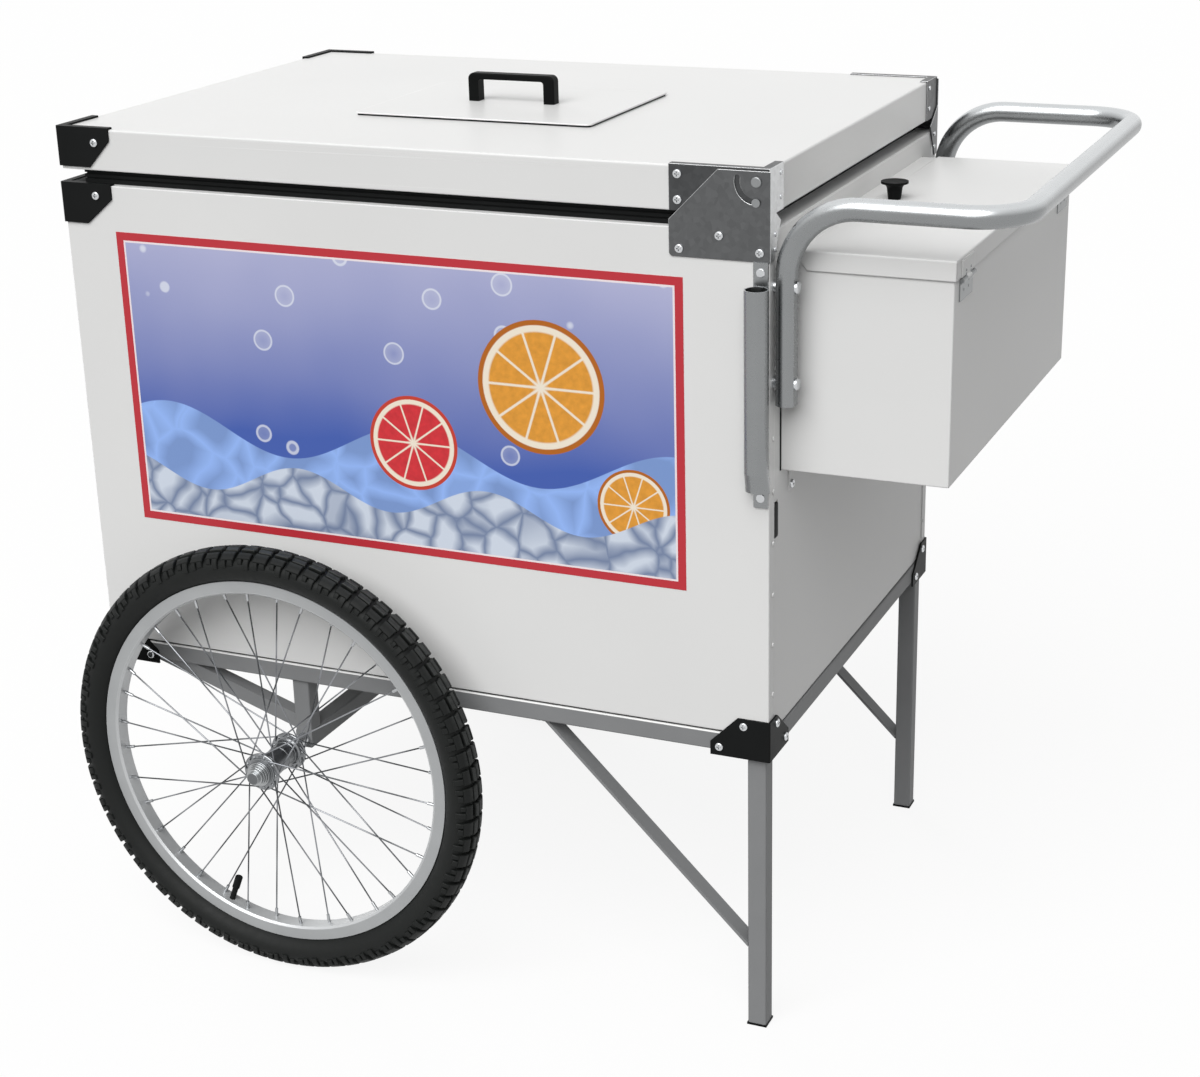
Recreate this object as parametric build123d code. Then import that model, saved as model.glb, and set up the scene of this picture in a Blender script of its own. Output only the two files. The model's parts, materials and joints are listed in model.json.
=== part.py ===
from build123d import *
import math
import os

# Beverage cart: an insulated box with a hinged lid on a square-tube frame, two spoked wheels at the nose end,
# two legs and a push handle at the other. Millimetres.
# x runs from the nose end of the box to the handle end, y is zero in the middle of the width, z is height.
# The left side, with the picture, is at negative y. The pieces are moved at the end so that the origin lies
# on the floor under the middle of the whole cart.

# Box
BODY_LENGTH = 970.0
BODY_WIDTH = 697.0
BODY_HEIGHT = 632.0
WALL = 45.0
SHEET = 1.2
LINER_SHEET = 1.0
CORNER_RETURN = 18.0
FOLD_RADIUS = 2.0
END_SLOT_WIDTH = 14.0
END_SLOT_HEIGHT = 45.0
END_SLOT_FROM_SIDE = 26.5
END_SLOT_BELOW_TOP = 354.0

# Frame
RAIL_SIZE = 25.0
RAIL_UNDERSIDE = 391.0
TUBE_SIZE = 25.0
TUBE_WALL = 1.5
TUBE_CORNER = 2.5
TUBE_INSET = 5.0
FLOOR_BAR_WIDTH = 30.0
FLOOR_BAR_HEIGHT = 3.0
FLOOR_BAR_INSET = 12.0
FLOOR_BAR_COUNT = 4
FOOT_CAP_HEIGHT = 3.0
FOOT_CAP_OVERHANG = 0.8
FOOT_PLUG_DEPTH = 15.0
PLUG_CLEARANCE = 0.1
BRACE_THICKNESS = 4.0
BRACE_RUN = 277.0
BRACE_LEG_HEIGHT = 118.0
STRUT_SIZE = 20.0
STRUT_RUN = 208.0
STRUT_POST_HEIGHT = 328.0

# Wheels
WHEEL_FROM_NOSE = 297.0
WHEEL_OUT = 70.0
TYRE_RADIUS = 304.0
TYRE_WIDTH = 53.0
TYRE_THICKNESS = 4.0
TREAD_WIDTH = 41.0
TREAD_DROP = 4.5
RIM_RADIUS = 260.0
RIM_WIDTH = 25.0
RIM_DEPTH = 18.0
RIM_WALL = 1.8
RIM_CHANNEL = 9.0
RIM_KNEE_SHARE = 0.85
RIM_CROWN_SHARE = 0.8
BEAD_CLEARANCE = 0.3
INNER_TUBE_SECTION = 17.0
INNER_TUBE_WALL = 1.2
SPOKES_PER_FLANGE = 18
SPOKE_CROSSING = 60.0
SPOKE_RADIUS = 1.0
SPOKE_STAGGER = 2.6
NIPPLE_RADIUS = 2.1
NIPPLE_LENGTH = 12.0
NIPPLE_SEAT = 0.8
RIM_STAGGER = 3.0
FLANGE_RADIUS = 26.0
FLANGE_OFFSET = 34.0
FLANGE_THICKNESS = 4.0
SPOKE_CIRCLE = 22.0
HUB_BARREL_RADIUS = 17.0
HUB_BORE_RADIUS = 8.0
HUB_HALF_LENGTH = 42.0
BEARING_RADIUS = 13.0
BEARING_WIDTH = 8.0
AXLE_RADIUS = 5.0
AXLE_RUNNING_FIT = 0.05
AXLE_END = 57.0
AXLE_IN_BEAM = 25.0
BEAM_PLUG = 6.0
CONE_RADIUS = 10.5
CONE_GAP = 0.3
CONE_LENGTH = 3.0
LOCKNUT_ACROSS_FLATS = 17.0
LOCKNUT_LENGTH = 5.0
SLEEVE_RADIUS = 9.0
VALVE_RADIUS = 4.0
VALVE_CLEARANCE = 0.1
VALVE_REACH = 38.0
VALVE_CAP_RADIUS = 5.2
VALVE_CAP_LENGTH = 18.0
VALVE_ANGLE = 248.5

# Black corner brackets and their screws
BRACKET_PLATE = 2.5
BRACKET_LONG = 79.0
BRACKET_SHORT = 70.0
BRACKET_BELOW_RAIL = 5.5
BRACKET_HEIGHT = 54.0
BRACKET_TIP = 18.0
BRACKET_LONG_TOP = 43.0
BRACKET_SHORT_TOP = 28.0
BRACKET_SCREW_HIGH = 11.0
BRACKET_SCREW_LOW = 12.0
BRACKET_LONG_NEAR = 34.5
BRACKET_LONG_FAR = 67.0
BRACKET_SHORT_NEAR = 25.0
BRACKET_SHORT_FAR = 57.0
TOP_BRACKET_LENGTH = 77.0
TOP_BRACKET_DROP = 50.0
TOP_BRACKET_FOOT = 37.0
TOP_BRACKET_TIP = 17.0
TOP_BRACKET_LIP = 10.0
TOP_BRACKET_SCREW_FROM_TIP = 23.0
TOP_BRACKET_SCREW_DROP = 13.0
LID_BRACKET_LENGTH = 80.0
LID_BRACKET_DROP = 49.0
LID_BRACKET_FOOT = 47.0
LID_BRACKET_TIP = 14.0
LID_BRACKET_SCREW_FROM_TIP = 22.0
LID_BRACKET_SCREW_DROP = 17.0
SCREW_HEAD_RADIUS = 5.5
SCREW_HEAD_HEIGHT = 2.9
SCREW_RADIUS = 2.5
SCREW_RECESS_LENGTH = 5.6
SCREW_RECESS_WIDTH = 1.3
SCREW_RECESS_DEPTH = 1.3
HEAD_ROUNDING = 0.7
RIVET_HEAD_RADIUS = 3.2
RIVET_HEAD_HEIGHT = 1.4
RIVET_RADIUS = 1.6
RIVET_FROM_EDGE = 13.5
RIVET_COUNT = 6
RIVET_FIRST = 53.0
RIVET_LAST_DROP = 249.0

# Lid and its hinges
LID_GAP = 19.0
LID_HEIGHT = 53.0
LID_FOLD = 2.5
GASKET_SIDE_INSET = 12.0
GASKET_END_INSET = 27.0
GASKET_WIDTH = 16.0
GASKET_GAP = 0.3
GASKET_GROOVE = 2.0
GASKET_RIDGES = 3
HINGE_PLATE = 1.5
HINGE_GAP = 0.4
HINGE_LENGTH = 123.5
HINGE_LIP = 11.0
LID_FLANGE = 49.0
PIVOT_FROM_END = 15.7
PIVOT_BELOW_TOP = 14.0
PIVOT_RADIUS = 4.0
PIVOT_RUNNING_FIT = 0.05
PIVOT_HEAD_RADIUS = 6.5
PIVOT_HEAD_HEIGHT = 2.4
SLOT_RADIUS = 23.5
SLOT_PIN_RADIUS = 2.9
SLOT_CLEARANCE = 0.4
SLOT_HEAD_RADIUS = 5.0
SLOT_HEAD_HEIGHT = 2.0
LID_TRAVEL = 100.0
BODY_PLATE_DROP = 34.0
BODY_PLATE_SIDE = 43.0
BODY_PLATE_TOP_CUT = 61.0
BODY_PLATE_BELOW_LIP = 1.5
BODY_PLATE_CORNER = 5.0
END_FLANGE_TOP = 34.0
END_FLANGE_TIP = 34.0
END_FLANGE_TIP_HEIGHT = 9.0
END_FLANGE_FOOT = 12.0
HINGE_NEAR_SCREW = 11.4
HINGE_NEAR_SCREW_DROP = 23.3
HINGE_MIDDLE_SCREW = 61.0
HINGE_MIDDLE_SCREW_DROP = 6.3
HINGE_FAR_SCREW = 110.5
HINGE_FAR_SCREW_DROP = 24.5
HINGE_END_RIVET_FROM_SIDE = 15.0
HINGE_END_RIVET_DROPS = (3.7, 21.3)
LID_HINGE_SCREW = 112.5
LID_HINGE_SCREW_DROPS = (10.0, 40.0)
LID_END_RIVET_INSET = 10.0
LID_END_RIVET_DROPS = (9.0, 37.0)

# Hatch in the lid
HATCH_LENGTH = 336.0
HATCH_WIDTH = 261.0
HATCH_FROM_NOSE = 329.0
HATCH_FROM_LEFT = 190.0
HATCH_OVERLAP = 22.0
HATCH_PLATE = 1.8
HATCH_CORNER = 7.2
HATCH_SEAL = 2.4
HATCH_CLEARANCE = 3.0
HATCH_PLUG_DEPTH = 44.0
HATCH_HANDLE_LENGTH = 125.0
HATCH_HANDLE_HEIGHT = 37.0
HATCH_HANDLE_WIDTH = 17.0
HATCH_HANDLE_FOOT = 15.0
HATCH_HANDLE_BAR = 8.0

# Picture sheet
PICTURE_FROM_NOSE = 75.0
PICTURE_FROM_END = 107.0
PICTURE_FROM_BOTTOM = 181.0
PICTURE_FROM_TOP = 59.0
PICTURE_SHEET = 0.4

# Side box on the handle end
BOX_DEPTH = 206.0
BOX_LENGTH = 590.0
BOX_FROM_LEFT = 42.0
BOX_HEIGHT = 270.0
BOX_BELOW_TOP = 26.0
BOX_SKIRT = 24.0
BOX_LID_CLEARANCE = 1.0
BOX_LID_REST = 0.3
BOX_LID_SETBACK = 22.0
BOX_STRIP = 42.0
BOX_SKIRT_CUT = 9.0
BOX_CORNER_SLIT = 1.6
BOX_EAR_WIDTH = 16.0
BOX_EAR_DROP = 38.0
BOX_EAR_INSET = 38.5
BOX_HINGE_LENGTH = 54.0
BOX_HINGE_LEAF = 22.0
BOX_HINGE_INSET = 20.0
BOX_HINGE_PIN_RADIUS = 1.3
BOX_HINGE_BARREL_RADIUS = 2.8
BOX_HINGE_RUNNING_FIT = 0.05
BOX_HINGE_KNUCKLE_GAP = 0.3
BOX_HINGE_DROP = 3.4
KNOB_FROM_EDGE = 23.0
KNOB_FROM_LEFT = 344.0
KNOB_BASE_RADIUS = 8.2
KNOB_NECK_RADIUS = 9.8
KNOB_TOP_RADIUS = 17.5
KNOB_HEIGHT = 23.0
KNOB_NECK_SHARE = 0.55
KNOB_FLARE_SHARE = 0.88
KNOB_DISH = 1.5

# Parasol holder
PARASOL_TUBE_RADIUS = 14.5
PARASOL_TUBE_WALL = 1.5
PARASOL_TUBE_DROP = 308.0
PARASOL_TUBE_LENGTH = 246.0
PARASOL_CRIMP = 26.0
PARASOL_CRIMP_DEPTH = 5.5
PARASOL_FROM_END = 10.0
PARASOL_STRIP_WIDTH = 18.0
PARASOL_STRIP = 3.0
PARASOL_STRIP_DROP = 331.0
PARASOL_SCREW_INSET = 12.0
PARASOL_SCREW_HEAD = 1.4

# Push handle
HANDLE_RADIUS = 13.5
HANDLE_WALL = 1.8
HANDLE_FLAT = 11.2
HANDLE_LEG_DROP = 205.0
HANDLE_RISE = 236.0
HANDLE_REACH = 285.0
HANDLE_BEND = 84.0
HANDLE_CORNER = 64.0
HANDLE_STAND_OFF = 5.0
HANDLE_BOLT_LOW = 26.0
HANDLE_BOLT_BELOW_BEND = 11.0
HANDLE_BOLT_RADIUS = 4.0
HANDLE_BOLT_HEAD_RADIUS = 7.5
HANDLE_BOLT_HEAD_HEIGHT = 4.5
SPACER_RADIUS = 7.5

# Drain
DRAIN_FROM_NOSE = 500.0
DRAIN_FROM_MIDDLE = 180.0
DRAIN_RADIUS = 12.5
DRAIN_WALL = 2.0
DRAIN_BELOW = 30.0
DRAIN_CAP_RADIUS = 17.0
DRAIN_CAP_HEIGHT = 14.0

# Levels and faces that follow from the sizes above
LEFT = -BODY_WIDTH / 2
RIGHT = BODY_WIDTH / 2
RAIL_TOP = RAIL_UNDERSIDE + RAIL_SIZE
BODY_BOTTOM = RAIL_TOP + FLOOR_BAR_HEIGHT
BODY_TOP = BODY_BOTTOM + BODY_HEIGHT
LID_BOTTOM = BODY_TOP + LID_GAP
LID_TOP = LID_BOTTOM + LID_HEIGHT
LID_INSET = HINGE_PLATE + HINGE_GAP
LID_LEFT = LEFT + LID_INSET
LID_END = BODY_LENGTH - LID_INSET
PIVOT_X = BODY_LENGTH - PIVOT_FROM_END
PIVOT_Z = LID_TOP - PIVOT_BELOW_TOP
AXLE_Z = TYRE_RADIUS
WHEEL_Y = LEFT - WHEEL_OUT
TUBE_Y = (LEFT + TUBE_INSET, LEFT + TUBE_INSET + TUBE_SIZE)
LEG_X = (BODY_LENGTH - TUBE_INSET - TUBE_SIZE, BODY_LENGTH - TUBE_INSET)
POST_X = (WHEEL_FROM_NOSE - TUBE_SIZE / 2, WHEEL_FROM_NOSE + TUBE_SIZE / 2)
BOX_WALL_X = BODY_LENGTH - SHEET
BOX_OUTER_X = BODY_LENGTH + BOX_DEPTH
BOX_TOP = BODY_TOP - BOX_BELOW_TOP
BOX_UNDERSIDE = BOX_TOP - BOX_HEIGHT
BOX_Y = (LEFT + BOX_FROM_LEFT, LEFT + BOX_FROM_LEFT + BOX_LENGTH)
BOX_RIM = BOX_TOP - SHEET - BOX_LID_REST
BOX_LID_OUTER_X = BOX_OUTER_X + BOX_LID_CLEARANCE + SHEET
BOX_SKIRT_BOTTOM = BOX_TOP - BOX_SKIRT
BOX_HINGE_X = BOX_OUTER_X + BOX_HINGE_BARREL_RADIUS + BOX_HINGE_KNUCKLE_GAP
BOX_HINGE_Z = BOX_SKIRT_BOTTOM - BOX_HINGE_DROP
HANDLE_X = BODY_LENGTH + HANDLE_STAND_OFF + HANDLE_FLAT
HANDLE_Y = LEFT + HANDLE_RADIUS
HANDLE_CROSS_X = BODY_LENGTH + HANDLE_REACH
HANDLE_BOTTOM = BODY_TOP - HANDLE_LEG_DROP
HANDLE_HEIGHT = HANDLE_BOTTOM + HANDLE_RISE
HANDLE_LEG_TOP = HANDLE_HEIGHT - HANDLE_BEND
PARASOL_X = BODY_LENGTH - PARASOL_FROM_END
PARASOL_Y = LEFT - PARASOL_STRIP - PARASOL_TUBE_RADIUS
PARASOL_TUBE_BOTTOM = BODY_TOP - PARASOL_TUBE_DROP
PARASOL_STRIP_BOTTOM = BODY_TOP - PARASOL_STRIP_DROP
RIM_INNER = RIM_RADIUS - RIM_DEPTH
HATCH_X = (HATCH_FROM_NOSE, HATCH_FROM_NOSE + HATCH_LENGTH)
HATCH_Y = (LEFT + HATCH_FROM_LEFT, LEFT + HATCH_FROM_LEFT + HATCH_WIDTH)
NECK_X = (HATCH_X[0] + HATCH_OVERLAP, HATCH_X[1] - HATCH_OVERLAP)
NECK_Y = (HATCH_Y[0] + HATCH_OVERLAP, HATCH_Y[1] - HATCH_OVERLAP)
COVER_BOTTOM = LID_TOP + HATCH_SEAL
COVER_TOP = COVER_BOTTOM + HATCH_PLATE

# The whole cart runs from the nose side of the tyres to the cross bar of the handle
CART_NOSE = min(WHEEL_FROM_NOSE - TYRE_RADIUS, -BRACKET_PLATE)
CART_MIDDLE_X = (CART_NOSE + HANDLE_CROSS_X + HANDLE_RADIUS) / 2

OUT_LEFT = (0, -1, 0)
OUT_NOSE = (-1, 0, 0)
OUT_HANDLE_END = (1, 0, 0)


# Building blocks
def block(x, y, z):
    """A box between three (low, high) spans."""
    spans = (x, y, z)
    sizes = [high - low for low, high in spans]
    centre = [(high + low) / 2 for low, high in spans]
    return Pos(*centre) * Box(*sizes)


def grown(span, amount):
    """The span made longer by the amount at both ends."""
    return (span[0] - amount, span[1] + amount)


def mirrored(shape):
    """The same piece on the right side of the cart."""
    return mirror(shape, about=Plane.XZ)


def at_nose(shape):
    """The same piece at the nose end of the box."""
    return mirror(shape, about=Plane.YZ.offset(BODY_LENGTH / 2))


def four_corners(pieces):
    """The pieces given for the left corner at the handle end, repeated at all four corners."""
    half_turn = Pos(BODY_LENGTH, 0, 0) * Rot(0, 0, 180)
    corners = []
    for piece in pieces:
        corners += [piece, mirrored(piece), at_nose(piece), half_turn * piece]
    return corners


def group(pieces):
    """Separate solids that share one name."""
    solids = []
    for piece in pieces:
        solids.extend(piece.solids())
    return Compound(solids)


def both_sides(*pieces):
    """The pieces given for the left side, and the same on the right side."""
    return group(list(pieces) + [mirrored(piece) for piece in pieces])


def side_plate(points, y, radius=0.0):
    """A flat plate with an x, z outline, between two y values."""
    face = make_face(Polyline(*points, close=True))
    if radius:
        face = fillet(face.vertices(), radius)
    return extrude(Plane.XZ.offset(-y[1]) * face, y[1] - y[0], dir=(0, -1, 0))


def end_plate(points, x):
    """A flat plate with a y, z outline, between two x values."""
    face = make_face(Polyline(*points, close=True))
    return extrude(Plane.YZ.offset(x[0]) * face, x[1] - x[0], dir=(1, 0, 0))


def square_tube(x, y, z, axis):
    """A square tube with rounded long edges; axis is 0, 1 or 2 for x, y or z."""
    spans = [x, y, z]
    outer = block(*spans)
    outer = fillet(outer.edges().filter_by((Axis.X, Axis.Y, Axis.Z)[axis]), TUBE_CORNER)
    inner = [span if i == axis else grown(span, -TUBE_WALL) for i, span in enumerate(spans)]
    return outer - block(*inner)


def slanted_bar(top, side, size, y):
    """A bar that falls from a level face at the point top to an upright face at the point side."""
    slope = math.atan2(top[1] - side[1], side[0] - top[0])
    level = size / 2 / math.sin(slope)
    upright = size / 2 / math.cos(slope)
    return side_plate([(top[0] - level, top[1]), (top[0] + level, top[1]), (side[0], side[1] + upright),
                       (side[0], side[1] - upright)], y)


def rod(start, end, radius):
    """A round bar between two points."""
    run = Vector(*end) - Vector(*start)
    bar = Cylinder(radius, run.length, align=(Align.CENTER, Align.CENTER, Align.MIN))
    return Plane(origin=start, z_dir=run).location * bar


def turned(points):
    """A solid of revolution about the y axis from (radius, y) points."""
    return revolve(make_face(Polyline(*points, close=True)), Axis.Y)


def domed(point, outward, grip, head_radius, head_height, radius, recess=None):
    """A domed head on a face, with a shank that reaches through the grip."""
    head = Cylinder(head_radius, head_height, align=(Align.CENTER, Align.CENTER, Align.MIN))
    head = fillet(head.edges().sort_by(Axis.Z)[-1], head_height * HEAD_ROUNDING)
    if recess:
        head = head - recess
    shank = Cylinder(radius, grip, align=(Align.CENTER, Align.CENTER, Align.MAX))
    return Plane(origin=point, z_dir=outward).location * (head + shank)


def pan_screw(point, outward, grip):
    """A pan-head screw with a cross recess for the driver."""
    depth = (SCREW_HEAD_HEIGHT - SCREW_RECESS_DEPTH, SCREW_HEAD_HEIGHT)
    along = (-SCREW_RECESS_LENGTH / 2, SCREW_RECESS_LENGTH / 2)
    across = (-SCREW_RECESS_WIDTH / 2, SCREW_RECESS_WIDTH / 2)
    recess = block(along, across, depth) + block(across, along, depth)
    return domed(point, outward, grip, SCREW_HEAD_RADIUS, SCREW_HEAD_HEIGHT, SCREW_RADIUS, recess)


def rivet(point, outward, grip):
    return domed(point, outward, grip, RIVET_HEAD_RADIUS, RIVET_HEAD_HEIGHT, RIVET_RADIUS)


def drilled(shape, fasteners):
    """The piece with a hole for every fastener that passes through it."""
    box = shape.bounding_box()
    for fastener in fasteners:
        other = fastener.bounding_box()
        apart = (other.min.X > box.max.X or other.max.X < box.min.X or other.min.Y > box.max.Y
                 or other.max.Y < box.min.Y or other.min.Z > box.max.Z or other.max.Z < box.min.Z)
        if not apart:
            shape = shape - fastener
    return shape


# Frame under the box
def side_rails():
    rail = square_tube((0, BODY_LENGTH), (LEFT, LEFT + RAIL_SIZE), (RAIL_UNDERSIDE, RAIL_TOP), 0)
    return both_sides(drilled(rail, BODY_SCREWS))


def end_rails():
    between = (LEFT + RAIL_SIZE, RIGHT - RAIL_SIZE)
    rail = square_tube((BODY_LENGTH - RAIL_SIZE, BODY_LENGTH), between, (RAIL_UNDERSIDE, RAIL_TOP), 1)
    rail = drilled(rail, BODY_SCREWS)
    return group([rail, at_nose(rail)])


def floor_bars():
    bars = []
    pitch = (BODY_LENGTH - FLOOR_BAR_WIDTH - 2 * RAIL_SIZE) / (FLOOR_BAR_COUNT - 1)
    for i in range(FLOOR_BAR_COUNT):
        start = RAIL_SIZE + i * pitch
        bars.append(block((start, start + FLOOR_BAR_WIDTH), grown((LEFT, RIGHT), -FLOOR_BAR_INSET),
                          (RAIL_TOP, BODY_BOTTOM)))
    return group(bars)


def legs():
    return both_sides(square_tube(LEG_X, TUBE_Y, (FOOT_CAP_HEIGHT, RAIL_UNDERSIDE), 2))


def foot_caps():
    cap = block(grown(LEG_X, FOOT_CAP_OVERHANG), grown(TUBE_Y, FOOT_CAP_OVERHANG), (0, FOOT_CAP_HEIGHT))
    hollow = TUBE_WALL + PLUG_CLEARANCE
    plug = block(grown(LEG_X, -hollow), grown(TUBE_Y, -hollow), (0, FOOT_CAP_HEIGHT + FOOT_PLUG_DEPTH))
    return both_sides(cap + plug)


def leg_braces():
    top = (LEG_X[0] - BRACE_RUN, RAIL_UNDERSIDE)
    return both_sides(slanted_bar(top, (LEG_X[0], BRACE_LEG_HEIGHT), BRACE_THICKNESS, TUBE_Y))


def axle_beam():
    height = (AXLE_Z - TUBE_SIZE / 2, AXLE_Z + TUBE_SIZE / 2)
    beam = square_tube(POST_X, (TUBE_Y[0], -TUBE_Y[0]), height, 1)
    inside = -TUBE_WALL
    plug = block(grown(POST_X, inside), (TUBE_Y[0], TUBE_Y[0] + BEAM_PLUG), grown(height, inside))
    hole = rod((WHEEL_FROM_NOSE, TUBE_Y[0], AXLE_Z), (WHEEL_FROM_NOSE, TUBE_Y[0] + BEAM_PLUG, AXLE_Z), AXLE_RADIUS)
    plug = plug - hole
    return beam + plug + mirrored(plug)


def axle_posts():
    return both_sides(square_tube(POST_X, TUBE_Y, (AXLE_Z + TUBE_SIZE / 2, RAIL_UNDERSIDE), 2))


def axle_struts():
    middle = (TUBE_Y[0] + TUBE_Y[1]) / 2
    across = (middle - STRUT_SIZE / 2, middle + STRUT_SIZE / 2)
    top = (WHEEL_FROM_NOSE - STRUT_RUN, RAIL_UNDERSIDE)
    side = (POST_X[0], STRUT_POST_HEIGHT)
    outer = slanted_bar(top, side, STRUT_SIZE, across)
    inner = slanted_bar(top, side, STRUT_SIZE - 2 * TUBE_WALL, grown(across, -TUBE_WALL))
    return both_sides(outer - inner)


# Wheels, turned about the y axis through the origin and then put in place
def wheel_place(shape):
    """A left wheel piece moved from the origin to the axle."""
    return Pos(WHEEL_FROM_NOSE, WHEEL_Y, AXLE_Z) * shape


def tyre():
    half = TYRE_WIDTH / 2
    seat = RIM_WIDTH / 2 - RIM_WALL - BEAD_CLEARANCE
    bead = RIM_RADIUS - RIM_CHANNEL + BEAD_CLEARANCE
    lip = RIM_RADIUS + BEAD_CLEARANCE
    middle = (lip + TYRE_RADIUS) / 2

    def profile(inset, foot):
        side = half - inset
        shoulder = TYRE_RADIUS - TREAD_DROP - inset
        edge = TREAD_WIDTH / 2 - inset
        neck = seat - inset
        right = [Line((foot, neck), (lip, neck)), ThreePointArc((lip, neck), (middle, side), (shoulder, edge))]
        crown = ThreePointArc((shoulder, edge), (TYRE_RADIUS - inset, 0), (shoulder, -edge))
        left = [ThreePointArc((shoulder, -edge), (middle, -side), (lip, -neck)), Line((lip, -neck), (foot, -neck))]
        return make_face(right + [crown] + left + [Line((foot, -neck), (foot, neck))])

    return revolve(profile(0, bead) - profile(TYRE_THICKNESS, bead), Axis.Y)


def valve_line(inner, outer, radius):
    """A round bar along the valve, between two distances from the axle."""
    turn = math.radians(VALVE_ANGLE)
    direction = Vector(math.cos(turn), 0, math.sin(turn))
    return rod(direction * inner, direction * outer, radius)


def inner_tube():
    middle = (RIM_RADIUS + TYRE_RADIUS) / 2 - TYRE_THICKNESS / 2
    section = Circle(INNER_TUBE_SECTION) - Circle(INNER_TUBE_SECTION - INNER_TUBE_WALL)
    tube = revolve(Pos(middle, 0) * section, Axis.Y)
    root = middle - INNER_TUBE_SECTION + INNER_TUBE_WALL / 2
    tip = RIM_INNER - VALVE_REACH
    cap_end = tip + VALVE_CAP_LENGTH
    stem = valve_line(tip + VALVE_RADIUS, root, VALVE_RADIUS)
    cap = valve_line(tip, cap_end, VALVE_CAP_RADIUS) - valve_line(tip + VALVE_RADIUS, cap_end, VALVE_RADIUS)
    return group([tube + stem, cap])


def rim():
    half = RIM_WIDTH / 2
    floor = RIM_RADIUS - RIM_CHANNEL
    knee = RIM_RADIUS - RIM_DEPTH * RIM_KNEE_SHARE
    crown = half * RIM_CROWN_SHARE
    box = make_face(Polyline((floor, -half), (floor, half), (knee, half), (RIM_INNER, crown), (RIM_INNER, -crown),
                             (knee, -half), close=True))
    hollow = offset(box, -RIM_WALL, kind=Kind.INTERSECTION)
    lip = Pos(RIM_RADIUS - RIM_CHANNEL / 2, half - RIM_WALL / 2) * Rectangle(RIM_CHANNEL, RIM_WALL)
    section = box - hollow + lip + mirror(lip, about=Plane.XZ)
    ring = revolve(section, Axis.Y)
    return ring - valve_line(RIM_INNER - RIM_DEPTH, RIM_RADIUS, VALVE_RADIUS + VALVE_CLEARANCE)


def spokes():
    pieces = []
    step = 360 / SPOKES_PER_FLANGE
    for side in (-1, 1):
        for i in range(SPOKES_PER_FLANGE):
            lead = 1 if i % 2 == 0 else -1
            hub_turn = math.radians(step * (i + side / 4))
            rim_turn = hub_turn + math.radians(SPOKE_CROSSING) * lead
            hub_y = side * FLANGE_OFFSET + lead * SPOKE_STAGGER
            start = Vector(SPOKE_CIRCLE * math.cos(hub_turn), hub_y, SPOKE_CIRCLE * math.sin(hub_turn))
            reach = RIM_INNER + NIPPLE_SEAT
            end = Vector(reach * math.cos(rim_turn), side * RIM_STAGGER, reach * math.sin(rim_turn))
            joint = end - (end - start).normalized() * NIPPLE_LENGTH
            pieces.append(rod(start, joint, SPOKE_RADIUS) + rod(joint, end, NIPPLE_RADIUS))
    return group(pieces)


def hub():
    half = FLANGE_THICKNESS / 2
    outside = [(BEARING_RADIUS, HUB_HALF_LENGTH), (HUB_BARREL_RADIUS, HUB_HALF_LENGTH),
               (HUB_BARREL_RADIUS, FLANGE_OFFSET + half), (FLANGE_RADIUS, FLANGE_OFFSET + half),
               (FLANGE_RADIUS, FLANGE_OFFSET - half), (HUB_BARREL_RADIUS, FLANGE_OFFSET - half)]
    inside = [(HUB_BORE_RADIUS, HUB_HALF_LENGTH - BEARING_WIDTH), (BEARING_RADIUS, HUB_HALF_LENGTH - BEARING_WIDTH)]
    path = outside + [(r, -y) for r, y in reversed(outside)]
    path += [(r, -y) for r, y in reversed(inside)] + inside
    return turned(path)


def bearings():
    bore = AXLE_RADIUS + AXLE_RUNNING_FIT
    rings = []
    for side in (-1, 1):
        inner = side * (HUB_HALF_LENGTH - BEARING_WIDTH)
        outer = side * HUB_HALF_LENGTH
        rings.append(turned([(bore, inner), (BEARING_RADIUS, inner), (BEARING_RADIUS, outer), (bore, outer)]))
    return group(rings)


def axle_rod():
    return rod((0, -AXLE_END, 0), (0, WHEEL_OUT + TUBE_INSET + AXLE_IN_BEAM, 0), AXLE_RADIUS)


def wheel_axles():
    return both_sides(wheel_place(axle_rod()))


def axle_ring(start, length, shape):
    """A ring or nut on the axle, from a distance along y."""
    return extrude(Plane.XZ.offset(-start - length) * (shape - Circle(AXLE_RADIUS)), length, dir=(0, -1, 0))


def axle_nuts():
    nut = RegularPolygon(LOCKNUT_ACROSS_FLATS / 2, 6, major_radius=False)
    cone_start = HUB_HALF_LENGTH + CONE_GAP
    nut_start = cone_start + CONE_LENGTH
    sleeve_start = nut_start + LOCKNUT_LENGTH
    beam_face = WHEEL_OUT + TUBE_INSET
    pieces = [axle_ring(-cone_start - CONE_LENGTH, CONE_LENGTH, Circle(CONE_RADIUS)),
              axle_ring(-nut_start - LOCKNUT_LENGTH, LOCKNUT_LENGTH, nut),
              axle_ring(cone_start, CONE_LENGTH, Circle(CONE_RADIUS)),
              axle_ring(nut_start, LOCKNUT_LENGTH, nut),
              axle_ring(sleeve_start, beam_face - sleeve_start, Circle(SLEEVE_RADIUS)),
              axle_ring(beam_face + BEAM_PLUG, LOCKNUT_LENGTH, nut)]
    return both_sides(*[wheel_place(piece) for piece in pieces])


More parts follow.
